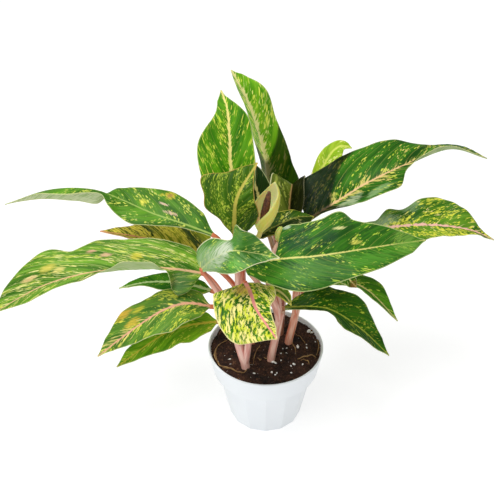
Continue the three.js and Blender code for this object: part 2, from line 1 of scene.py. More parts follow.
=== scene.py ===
# A potted Chinese evergreen: a white nursery pot, its soil, five plantlets with variegated leaves,
# an open flower and a bud. Sizes and places are in millimetres, in the frame of the solids, except
# in the studio. Every mesh is in metres.
import math
from functools import partial, reduce

import bmesh
import bpy
import numpy as np
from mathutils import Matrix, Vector, noise


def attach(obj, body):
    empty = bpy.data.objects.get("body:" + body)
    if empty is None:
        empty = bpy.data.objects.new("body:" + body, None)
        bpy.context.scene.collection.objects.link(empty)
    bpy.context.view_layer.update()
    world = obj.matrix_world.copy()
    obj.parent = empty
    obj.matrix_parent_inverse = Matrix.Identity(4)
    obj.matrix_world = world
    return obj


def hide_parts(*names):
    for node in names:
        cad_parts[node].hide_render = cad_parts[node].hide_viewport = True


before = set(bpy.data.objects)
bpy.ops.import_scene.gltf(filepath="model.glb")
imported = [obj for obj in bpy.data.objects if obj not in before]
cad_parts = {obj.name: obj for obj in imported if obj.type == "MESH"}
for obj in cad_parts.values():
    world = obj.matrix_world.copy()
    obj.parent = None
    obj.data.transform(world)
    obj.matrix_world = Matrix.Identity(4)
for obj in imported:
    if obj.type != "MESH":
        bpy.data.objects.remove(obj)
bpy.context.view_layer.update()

MM = 0.001
scene = bpy.context.scene

# ---- The studio ---------------------------------------------------------------------------------
# A white floor under soft white light from all round, with two large lamps above the plant, as for
# a catalogue picture. A long lens looks down on the plant from a little over a metre away.

CAMERA_PLACE = (-0.0157, -0.875, 0.8738)
CAMERA_TILT = math.radians(52.6)
LENS = 84.67
SENSOR = 36
SKY_STRENGTH = 0.5
LAMP_TARGET = Vector((0, 0, 0.2))
FLOOR_REACH = 4
FLOOR_GREY = 0.45
FLOOR_GLOW = 0.66
WHITE = (1, 1, 1, 1)


def colour(code):
    """Six hexadecimal digits of a screen colour, as the linear colour that shaders use."""
    channels = [int(code[i : i + 2], 16) / 255 for i in (0, 2, 4)]
    linear = [c / 12.92 if c <= 0.04045 else ((c + 0.055) / 1.055) ** 2.4 for c in channels]
    return (*linear, 1)


def wire(tree, kind, inputs=None, **settings):
    """A new node, with its settings made, and its inputs set, or linked where they are sockets."""
    made = tree.nodes.new(kind)
    for name, value in settings.items():
        setattr(made, name, value)
    for name, value in (inputs or {}).items():
        if isinstance(value, bpy.types.NodeSocket):
            tree.links.new(value, made.inputs[name])
        else:
            made.inputs[name].default_value = value
    return made


def finish(name, roughness=0.5, **constants):
    """A new material with a principled shader. Returns the material, its tree and the shader."""
    material = bpy.data.materials.new(name)
    material.use_nodes = True
    tree = material.node_tree
    shader = tree.nodes["Principled BSDF"]
    shader.inputs["Roughness"].default_value = roughness
    for socket, value in constants.items():
        shader.inputs[socket.replace("_", " ")].default_value = value
    return material, tree, shader


camera = bpy.data.objects.new("camera", bpy.data.cameras.new("camera"))
camera.location = CAMERA_PLACE
camera.rotation_euler = (CAMERA_TILT, 0, 0)
camera.data.lens = LENS
camera.data.sensor_width = SENSOR
scene.collection.objects.link(camera)
scene.camera = camera
scene.view_settings.view_transform = "Standard"

world = bpy.data.worlds.new("studio")
world.use_nodes = True
world.node_tree.nodes["Background"].inputs["Color"].default_value = WHITE
world.node_tree.nodes["Background"].inputs["Strength"].default_value = SKY_STRENGTH
scene.world = world


def add_lamp(name, place, size, power):
    """A square area lamp that looks at the middle of the plant."""
    lamp = bpy.data.objects.new(name, bpy.data.lights.new(name, "AREA"))
    lamp.data.size = size
    lamp.data.energy = power
    lamp.location = place
    lamp.rotation_euler = (LAMP_TARGET - lamp.location).to_track_quat("-Z", "Y").to_euler()
    scene.collection.objects.link(lamp)


add_lamp("overhead", (-0.3, -0.1, 1.6), 0.8, 17)
add_lamp("front_left", (-0.9, -1.3, 1.2), 0.9, 9)

floor_mesh = bpy.data.meshes.new("floor")
corners = [(x * FLOOR_REACH, y * FLOOR_REACH, 0) for x, y in ((-1, -1), (1, -1), (1, 1), (-1, 1))]
floor_mesh.from_pydata(corners, [], [(0, 1, 2, 3)])
floor = bpy.data.objects.new("floor", floor_mesh)
floor_finish, tree, shader = finish("floor_white", 0.9)
shader.inputs["Base Color"].default_value = (FLOOR_GREY, FLOOR_GREY, FLOOR_GREY, 1)
shader.inputs["Emission Color"].default_value = WHITE
shader.inputs["Emission Strength"].default_value = FLOOR_GLOW
floor_mesh.materials.append(floor_finish)
scene.collection.objects.link(floor)

# ---- The pot ------------------------------------------------------------------------------------
# A nursery pot moulded in white polypropylene. It tapers, with a smooth band under its rolled rim
# and 14 flats below the band, which the mould presses into the turned shape.

POT_HEIGHT = 85
RIM_RADIUS = 57.5
RIM_LIP = 2
BAND_FOOT_Z = 59
BAND_FOOT_RADIUS = 53
BODY_TOP_RADIUS = 48
BASE_RADIUS = 36.5
INNER_NECK_Z = 58
INNER_NECK_RADIUS = 45
INNER_BASE_RADIUS = 33.5
POT_FLOOR = 2.5
DRAIN_HOLES = 6
DRAIN_RADIUS = 3
DRAIN_CIRCLE = 25
DRAIN_SIDES = 24
FLATS = 14
POT_SIDES = FLATS * 12
FLAT_EDGE_ANGLE = 14


def arc(centre, radius, start, end, steps=4):
    """Points of a rounded edge in the pot's profile, between two angles in degrees."""
    angles = np.radians(np.linspace(start, end, steps))
    return [(centre[0] + radius * math.cos(a), centre[1] + radius * math.sin(a)) for a in angles]


def wall_faces(rings, sides, first=0):
    """The square faces between rings of points, which are counted from first."""
    return [
        (ring + i, ring + (i + 1) % sides, ring + sides + (i + 1) % sides, ring + sides + i)
        for ring in range(first, first + (rings - 1) * sides, sides)
        for i in range(sides)
    ]


def mesh_object(name, points, faces, material):
    """An object of a new mesh, from points in millimetres, shaded smooth."""
    mesh = bpy.data.meshes.new(name)
    mesh.from_pydata((np.asarray(points) * MM).tolist(), [], faces)
    mesh.polygons.foreach_set("use_smooth", [True] * len(mesh.polygons))
    mesh.materials.append(material)
    made = bpy.data.objects.new(name, mesh)
    scene.collection.objects.link(made)
    return made


def face_outwards(piece, weld=False):
    """Turns a closed piece's faces outwards, after its doubled points are merged if asked."""
    shape = bmesh.new()
    shape.from_mesh(piece.data)
    if weld:
        bmesh.ops.remove_doubles(shape, verts=shape.verts, dist=0.001 * MM)
    bmesh.ops.recalc_face_normals(shape, faces=shape.faces)
    shape.to_mesh(piece.data)
    shape.free()


def bake_modifiers(piece):
    """Turns a piece's modifiers into its own plain mesh."""
    graph = bpy.context.evaluated_depsgraph_get()
    plain = bpy.data.meshes.new_from_object(piece.evaluated_get(graph))
    piece.modifiers.clear()
    piece.data = plain


def add_tree_modifier(piece, tree, values):
    """Puts a Geometry Nodes tree on a piece, and sets its named inputs."""
    modifier = piece.modifiers.new(tree.name, "NODES")
    modifier.node_group = tree
    items = tree.interface.items_tree
    sockets = {item.name: item.identifier for item in items if item.in_out == "INPUT"}
    for name, value in values.items():
        modifier[sockets[name]] = value


def geometry_tree(name, **inputs):
    """A Geometry Nodes tree with its named inputs, each given with the kind of its socket, and one
    for its material. Returns the tree, its inputs, and a function that takes its result."""
    tree = bpy.data.node_groups.new(name, "GeometryNodeTree")
    for socket, kind in {"Geometry": "Geometry", **inputs, "Finish": "Material"}.items():
        title = socket.replace("_", " ")
        tree.interface.new_socket(title, in_out="INPUT", socket_type=f"NodeSocket{kind}")
    tree.interface.new_socket("Geometry", in_out="OUTPUT", socket_type="NodeSocketGeometry")
    given = tree.nodes.new("NodeGroupInput").outputs
    result = tree.nodes.new("NodeGroupOutput").inputs

    def end_with(geometry):
        real = wire(tree, "GeometryNodeRealizeInstances", {0: geometry})
        inputs = {"Geometry": real.outputs[0], "Material": given["Finish"]}
        coated = wire(tree, "GeometryNodeSetMaterial", inputs)
        tree.links.new(coated.outputs[0], result[0])

    return tree, given, end_with


def maths(tree, operation, *values):
    """The result of one step of arithmetic in a node tree."""
    return wire(tree, "ShaderNodeMath", dict(enumerate(values)), operation=operation).outputs[0]


def arithmetic(tree):
    """A tree's plus, minus and times, each a function of two or more sockets or numbers."""

    def chain(operation, *values):
        return reduce(partial(maths, tree, operation), values)

    return [partial(chain, operation) for operation in ("ADD", "SUBTRACT", "MULTIPLY")]


def split(tree, vector):
    """The three parts of a vector, as sockets."""
    return wire(tree, "ShaderNodeSeparateXYZ", {0: vector}).outputs


def solid_noise(tree, scale, detail, **settings):
    """Noise through the whole of a piece. scale is how many grains there are in a metre."""
    place = wire(tree, "ShaderNodeTexCoord").outputs["Object"]
    inputs = {"Vector": place, "Scale": scale, "Detail": detail, **settings}
    return wire(tree, "ShaderNodeTexNoise", inputs).outputs["Fac"]


def shade_between(tree, shader, value, dark, light, low=0, high=1):
    """Colours a surface from dark, where a value is low, to light, where it is high."""
    ramp = wire(tree, "ShaderNodeValToRGB", {"Fac": value})
    for stop, code, position in zip(ramp.color_ramp.elements, (dark, light), (low, high)):
        stop.color = colour(code)
        stop.position = position
    tree.links.new(ramp.outputs["Color"], shader.inputs["Base Color"])


def vary_roughness(tree, shader, value, smooth, rough):
    """Makes a surface as rough as a value between 0 and 1 says."""
    spread = wire(tree, "ShaderNodeMapRange", {"Value": value, "To Min": smooth, "To Max": rough})
    tree.links.new(spread.outputs["Result"], shader.inputs["Roughness"])


def add_bump(tree, shader, height, strength, depth):
    """Roughens a surface with bumps of a depth in millimetres."""
    inputs = {"Height": height, "Strength": strength, "Distance": depth * MM}
    bump = wire(tree, "ShaderNodeBump", inputs)
    tree.links.new(bump.outputs["Normal"], shader.inputs["Normal"])


pot_finish, tree, shader = finish("pot_plastic", 0.34, Specular_IOR_Level=0.5, IOR=1.49)
cloud = solid_noise(tree, 30, 3)
shade_between(tree, shader, cloud, "e0e5e9", "e9edf0")
vary_roughness(tree, shader, cloud, 0.28, 0.42)
add_bump(tree, shader, solid_noise(tree, 900, 2), 0.06, 0.3)

pot_profile = [
    (0, 0),
    (BASE_RADIUS - 3, 0),
    *arc((BASE_RADIUS - 1.2, 1.2), 1.2, -90, -15),
    (BODY_TOP_RADIUS, BAND_FOOT_Z - 0.6),
    *arc((BODY_TOP_RADIUS + 0.8, BAND_FOOT_Z - 0.8), 0.8, 180, 90, 3),
    *arc((BAND_FOOT_RADIUS - 1, BAND_FOOT_Z + 1), 1, -90, -10),
    (RIM_RADIUS - 0.3, POT_HEIGHT - 2.5),
    *arc((RIM_RADIUS - RIM_LIP / 2, POT_HEIGHT - RIM_LIP / 2), RIM_LIP / 2, 0, 180, 7),
    (INNER_NECK_RADIUS + 1.5, INNER_NECK_Z + 1.5),
    (INNER_NECK_RADIUS, INNER_NECK_Z - 0.5),
    (INNER_BASE_RADIUS + 0.3, POT_FLOOR + 1),
    (INNER_BASE_RADIUS - 1, POT_FLOOR),
    (0, POT_FLOOR),
]
ring = 2 * np.pi * np.arange(POT_SIDES) / POT_SIDES - np.pi / 2
pot_points = [(r * math.cos(a), r * math.sin(a), z) for r, z in pot_profile for a in ring]
pot = mesh_object("nursery_pot", pot_points, wall_faces(len(pot_profile), POT_SIDES), pot_finish)
face_outwards(pot, weld=True)

# The flats: below the band, the outer wall is squeezed from a circle to a polygon.
tree, given, end_with = geometry_tree(
    "pressed_flats", Flats="Int", Band_Foot="Float", Inside_Slope="Float"
)
plus, minus, times = arithmetic(tree)
x, y, z = split(tree, wire(tree, "GeometryNodeInputPosition").outputs[0])
radius = maths(tree, "SQRT", plus(times(x, x), times(y, y)))
angle = maths(tree, "ARCTAN2", x, times(y, -1))
flat = maths(tree, "DIVIDE", 2 * math.pi, given["Flats"])
half_flat = times(flat, 0.5)
off_middle = minus(maths(tree, "FLOORED_MODULO", angle, flat), half_flat)
squeeze = maths(tree, "DIVIDE", maths(tree, "COSINE", half_flat), maths(tree, "COSINE", off_middle))
below = maths(tree, "LESS_THAN", z, given["Band Foot"])
inner_wall = plus((INNER_BASE_RADIUS + 0.9) * MM, times(z, given["Inside Slope"]))
outside = minus(1, maths(tree, "LESS_THAN", radius, inner_wall))
scale = plus(1, times(below, outside, minus(squeeze, 1)))
moved = wire(tree, "ShaderNodeCombineXYZ", {0: times(x, scale), 1: times(y, scale), 2: z})
inputs = {"Geometry": given["Geometry"], "Position": moved.outputs[0]}
end_with(wire(tree, "GeometryNodeSetPosition", inputs).outputs[0])
pressing = {
    "Flats": FLATS,
    "Band Foot": (BAND_FOOT_Z - 0.3) * MM,
    "Inside Slope": (INNER_NECK_RADIUS - INNER_BASE_RADIUS) / INNER_NECK_Z,
    "Finish": pot_finish,
}
add_tree_modifier(pot, tree, pressing)
bake_modifiers(pot)
pot.data.set_sharp_from_angle(angle=math.radians(FLAT_EDGE_ANGLE))

drill = bmesh.new()
for i in range(DRAIN_HOLES):
    turn = 2 * math.pi * i / DRAIN_HOLES
    made = bmesh.ops.create_cone(
        drill,
        cap_ends=True,
        segments=DRAIN_SIDES,
        radius1=DRAIN_RADIUS * MM,
        radius2=DRAIN_RADIUS * MM,
        depth=3 * POT_FLOOR * MM,
    )
    middle = Vector((DRAIN_CIRCLE * math.cos(turn), DRAIN_CIRCLE * math.sin(turn), POT_FLOOR / 2)) * MM
    bmesh.ops.translate(drill, verts=made["verts"], vec=middle)
drill_mesh = bpy.data.meshes.new("drill")
drill.to_mesh(drill_mesh)
drill.free()
drill_object = bpy.data.objects.new("drill", drill_mesh)
scene.collection.objects.link(drill_object)
cut = pot.modifiers.new("drain_holes", "BOOLEAN")
cut.object = drill_object
cut.solver = "EXACT"
bake_modifiers(pot)
bpy.data.objects.remove(drill_object)
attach(pot, "root")
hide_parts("pot")

# ---- The soil -----------------------------------------------------------------------------------
# Damp dark potting mix of peat and fine bark, level with the pot's rim but for a few millimetres.
# White grains of expanded perlite and some thin tan roots lie on it.

SOIL_Z = 81.5
SOIL_SWELL = 0.9
SOIL_LUMP = 5
SOIL_LUMP_HEIGHT = 0.9
SOIL_RADIUS = 54.2
SOIL_EDGE_SHARE = 0.9
SOIL_EDGE_DROP = 0.4
SOIL_RINGS = 60
SOIL_SIDES = 180
SOIL_CLEARANCE = 0.2
CRUMB_FLATNESS = 0.7
PERLITE_WIDTH = 0.62
PERLITE_LIFT = 0.25
ROOT_SIDES = 6
ROOT_LIFT = 0.6
ROOT_ARCH = 1.2
ROOT_WANDER = 0.7
ROOT_END = 0.55

# The larger perlite grains: where each lies and how long it is.
PERLITE = [
    (7, -21, 4.2), (9.5, -22, 3), (32, 1, 4.6), (44, 24, 5), (47, 23, 3.4), (27.5, -25.5, 3.6),
    (24.5, -27, 2.4), (36, -25.5, 2.6), (-35.5, -17, 2.6), (-11.5, -37.5, 2.6), (5.5, -36, 3),
    (10.5, -37, 2.2), (9, -39.5, 2.2), (24.5, -36, 2.2), (41, 1, 2.4), (17, -1.5, 2), (21, 0, 1.8),
    (15, -9, 2.2), (20.5, -8, 2), (15, -18, 2.2), (41, 5.5, 1.6), (-35, -24, 1.6), (50, 8, 1.6),
]
# The roots, each through points on the soil, with its thickness.
ROOTS = [
    (
        [
            (-37, 13), (-44, 5), (-49.5, -4), (-49, -15), (-45.5, -27), (-38, -31), (-30, -34),
            (-22, -35.5), (-17, -29),
        ],
        0.5,
    ),
    ([(-50, -3), (-51, -13), (-46, -24)], 0.7),
    ([(-43, -29), (-36, -31.5), (-29, -35), (-22, -36.5)], 0.6),
    ([(-5.5, 4), (-8, -3), (-11, -12), (-12.5, -24)], 0.45),
    ([(31, -17), (38, -15), (44, -13), (50, -14)], 0.7),
    ([(34, -19), (40, -20), (43, -24)], 0.6),
    ([(25, 8), (29, 0), (30, -10)], 0.4),
    ([(52, 12), (53, 0), (50, -12)], 0.45),
    ([(-2, -15), (2, -17.5), (6, -21)], 0.5),
    ([(30, 20), (36, 13), (40, 6)], 0.4),
    ([(-9, -14), (-6, -19), (-4, -17)], 0.4),
    ([(-20, 4), (-27, -5), (-31, -9)], 0.35),
]


def soil_level(x, y):
    """The height of the soil's surface at a place, in millimetres."""
    swell = math.sin(x / 9 + 1) * math.cos(y / 7) + 0.5 * math.sin((x + y) / 4)
    edge = max(0, math.hypot(x, y) / SOIL_RADIUS - SOIL_EDGE_SHARE) / (1 - SOIL_EDGE_SHARE)
    return SOIL_Z + SOIL_SWELL * swell - SOIL_EDGE_DROP * edge * edge


def earth_finish(name, dark, light, wet):
    """Damp crumbling earth in two browns. wet is the roughness of its dampest patches."""
    material, tree, shader = finish(name, Specular_IOR_Level=0.25)
    crumbs = solid_noise(tree, 420, 5, Roughness=0.7)
    patches = solid_noise(tree, 90, 3)
    mixed = maths(tree, "MULTIPLY_ADD", patches, 0.7, maths(tree, "MULTIPLY", crumbs, 0.5))
    shade_between(tree, shader, mixed, dark, light, 0.42, 0.78)
    vary_roughness(tree, shader, patches, wet, 0.95)
    add_bump(tree, shader, crumbs, 0.9, 1.2)
    return material


peat = earth_finish("damp_peat", "120b09", "4a2e22", 0.5)
bark = earth_finish("bark_crumbs", "22140e", "75503a", 0.6)

ring = 2 * np.pi * np.arange(SOIL_SIDES) / SOIL_SIDES
soil_points = [(0, 0, soil_level(0, 0))]
for i in range(1, SOIL_RINGS + 1):
    reach = SOIL_RADIUS * i / SOIL_RINGS
    for a in ring:
        x, y = reach * math.cos(a), reach * math.sin(a)
        rough = noise.fractal(Vector((x / SOIL_LUMP, y / SOIL_LUMP, 0)), 0.8, 2.1, 4)
        soil_points.append((x, y, soil_level(x, y) + SOIL_LUMP_HEIGHT * rough))
foot_z = POT_FLOOR + 0.5
for wall, z in ((INNER_NECK_RADIUS, INNER_NECK_Z), (INNER_BASE_RADIUS, foot_z)):
    reach = wall - SOIL_CLEARANCE
    soil_points += [(reach * math.cos(a), reach * math.sin(a), z) for a in ring]
soil_points.append((0, 0, foot_z))



def fan(ring, sides, tip, order=1):
    """The faces that close a ring of points, from its first point, with the point that is its tip."""
    return [(ring + i, ring + (i + 1) % sides, tip)[::order] for i in range(sides)]


last_ring = 1 + (SOIL_RINGS + 1) * SOIL_SIDES
soil_faces = fan(1, SOIL_SIDES, 0)
soil_faces += [(a, d, c, b) for a, b, c, d in wall_faces(SOIL_RINGS + 2, SOIL_SIDES, 1)]
soil_faces += fan(last_ring, SOIL_SIDES, len(soil_points) - 1, -1)
soil = mesh_object("soil_bed", soil_points, soil_faces, peat)
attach(soil, "root")
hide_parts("soil")


def lump(fineness, roughness, grain, seed):
    """A knobbly ball one unit across, as its points and faces."""
    ball = bmesh.new()
    bmesh.ops.create_icosphere(ball, subdivisions=fineness, radius=0.5)
    points = [
        vertex.co * (1 + roughness * noise.noise(vertex.co * grain + Vector(seed))) for vertex in ball.verts
    ]
    faces = [[vertex.index for vertex in face.verts] for face in ball.faces]
    ball.free()
    return points, faces


# Crumbs are scattered over the soil's upper side, at random sizes and turns.
tree, given, end_with = geometry_tree(
    "scattered_crumbs", Crumb="Object", Density="Float", Smallest="Float", Largest="Float", Seed="Int"
)
upwards = split(tree, wire(tree, "GeometryNodeInputNormal").outputs[0])[2]
height = split(tree, wire(tree, "GeometryNodeInputPosition").outputs[0])[2]
facing = maths(tree, "GREATER_THAN", upwards, 0.2)
near_top = maths(tree, "GREATER_THAN", height, (SOIL_Z - 6) * MM)
spread = wire(
    tree,
    "GeometryNodeDistributePointsOnFaces",
    {
        "Mesh": given["Geometry"],
        "Selection": maths(tree, "MULTIPLY", facing, near_top),
        "Density": given["Density"],
        "Seed": given["Seed"],
    },
)
size = wire(
    tree,
    "FunctionNodeRandomValue",
    {"Min": given["Smallest"], "Max": given["Largest"], "Seed": given["Seed"]},
    data_type="FLOAT",
)
turn = wire(tree, "FunctionNodeRandomValue", {"Seed": given["Seed"]}, data_type="FLOAT_VECTOR")
turn.inputs[1].default_value = (2 * math.pi,) * 3
copies = wire(
    tree,
    "GeometryNodeInstanceOnPoints",
    {
        "Points": spread.outputs["Points"],
        "Instance": wire(tree, "GeometryNodeObjectInfo", {"Object": given["Crumb"]}).outputs["Geometry"],
        "Rotation": next(socket for socket in turn.outputs if socket.enabled),
        "Scale": next(socket for socket in size.outputs if socket.enabled),
    },
)
end_with(copies.outputs[0])
crumb_tree = tree

points, faces = lump(1, 0.35, 3, (1, 0, 0))
crumb = mesh_object("crumb", [(x, y, z * CRUMB_FLATNESS) for x, y, z in points], faces, bark)


def scatter(name, density, smallest, largest, seed, material):
    """A mesh of crumbs over the soil: how many in a square metre, and their sizes."""
    made = bpy.data.objects.new(name, soil.data.copy())
    scene.collection.objects.link(made)
    values = {"Crumb": crumb, "Density": density, "Smallest": smallest, "Largest": largest}
    add_tree_modifier(made, crumb_tree, {**values, "Seed": seed, "Finish": material})
    bake_modifiers(made)
    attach(made, "root")


perlite_white, tree, shader = finish("perlite_white", 0.9)
pits = solid_noise(tree, 900, 3)
shade_between(tree, shader, pits, "dcd4cb", "ffffff")
add_bump(tree, shader, pits, 0.8, 0.6)

scatter("peat_crumbs", 240000, 0.7, 2.4, 3, peat)
scatter("bark_crumbs", 60000, 0.8, 2.8, 5, bark)
scatter("perlite_dust", 5000, 0.4, 0.9, 7, perlite_white)
bpy.data.objects.remove(crumb)

grain_points, grain_faces = [], []
for i, (x, y, length) in enumerate(PERLITE):
    points, faces = lump(2, 0.45, 2.4, (i, 2, 0))
    long_way = Vector((math.cos(2.4 * i), math.sin(2.4 * i), 0))
    middle = Vector((x, y, soil_level(x, y) + PERLITE_LIFT * length))
    grain_faces += [[len(grain_points) + corner for corner in face] for face in faces]
    for point in points:
        stretch = (1 - PERLITE_WIDTH) * point.dot(long_way) * long_way
        grain_points.append((PERLITE_WIDTH * point + stretch) * length + middle)
grains = mesh_object("perlite_grains", grain_points, grain_faces, perlite_white)
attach(grains, "root")


def cubic(run, first, w):
    """A smooth curve's value a part w of the way between two of the values of a run, which has one
    more value at each end."""
    before, start, end, after = run[first], run[first + 1], run[first + 2], run[first + 3]
    leaving, arriving = (end - before) / 2, (after - start) / 2
    third = 2 * start - 2 * end + leaving + arriving
    second = -3 * start + 3 * end - 2 * leaving - arriving
    return ((third * w + second) * w + leaving) * w + start


def spline(points, share):
    """The points at each share, from 0 to 1, of the way along a smooth curve through some points."""
    points = np.asarray(points, float)
    run = np.vstack([2 * points[0] - points[1], points, 2 * points[-1] - points[-2]])
    place = np.clip(share, 0, 1) * (len(points) - 1)
    first = np.minimum(place.astype(int), len(points) - 2)
    return cubic(run, first, (place - first)[:, None])


def unit(vectors):
    """Vectors in the same directions, one unit long."""
    return vectors / np.linalg.norm(vectors, axis=-1, keepdims=True)


def around(turns, side, other):
    """The directions at some turns round a path, from the two directions across it."""
    return np.cos(turns)[..., None] * side[:, None, :] + np.sin(turns)[..., None] * other[:, None, :]


def tube(path, radii, sides, first=0):
    """A closed tube along a path, as its points and faces, which count its points from first.
    radii has a radius, or one for each side, at each point of the path."""
    heading = unit(np.gradient(path, axis=0))
    side = unit(np.cross(heading, (0.31, 0.17, 0.93)) + 1e-9)
    for row in range(1, len(path)):
        flat_side = side[row - 1] - heading[row] * (side[row - 1] @ heading[row])
        side[row] = flat_side / np.linalg.norm(flat_side)
    other = np.cross(heading, side)
    turns = 2 * np.pi * np.arange(sides) / sides
    radii = np.broadcast_to(np.asarray(radii, float).reshape(len(path), -1), (len(path), sides))
    points = (path[:, None, :] + around(turns, side, other) * radii[:, :, None]).reshape(-1, 3)
    points = np.vstack([points, path[0], path[-1]])
    foot, tip = first + len(points) - 2, first + len(points) - 1
    faces = wall_faces(len(path), sides, first)
    faces += fan(first, sides, foot, -1) + fan(foot - sides, sides, tip)
    return points, faces


root_tan, tree, shader = finish("root_tan", 0.6)
shade_between(tree, shader, solid_noise(tree, 180, 3), "7a5830", "cfa86a", 0.35, 1)

root_points, root_faces = [], []
for i, (route, radius) in enumerate(ROOTS):
    steps = 8 * len(route)
    path = spline(route, np.linspace(0, 1, steps))
    hump = np.sin(np.linspace(0, math.pi, steps))
    wander = np.sin(1.7 * np.arange(steps) / len(route) + i)
    lift = ROOT_LIFT + ROOT_ARCH * hump + ROOT_WANDER * wander
    path = np.array([(x, y, soil_level(x, y) + z) for (x, y), z in zip(path, lift)])
    radii = radius * (ROOT_END + (1 - ROOT_END) * hump)
    points, faces = tube(path, radii, ROOT_SIDES, len(root_points))
    root_points += points.tolist()
    root_faces += faces
roots = mesh_object("fine_roots", root_points, root_faces, root_tan)
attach(roots, "root")

# ---- The leaves' table --------------------------------------------------------------------------
# The plantlets' 22 leaves grow from their canes on long petioles, and arch over, twist and lie on
# one another as they grew, so each has its own row. The plantlets and the leaves are made from it.

STATIONS = [0.1, 0.3, 0.5, 0.7, 0.9]
PETIOLE_TOP_RADIUS = 2.3
TIP_HALF_WIDTH = 0.7

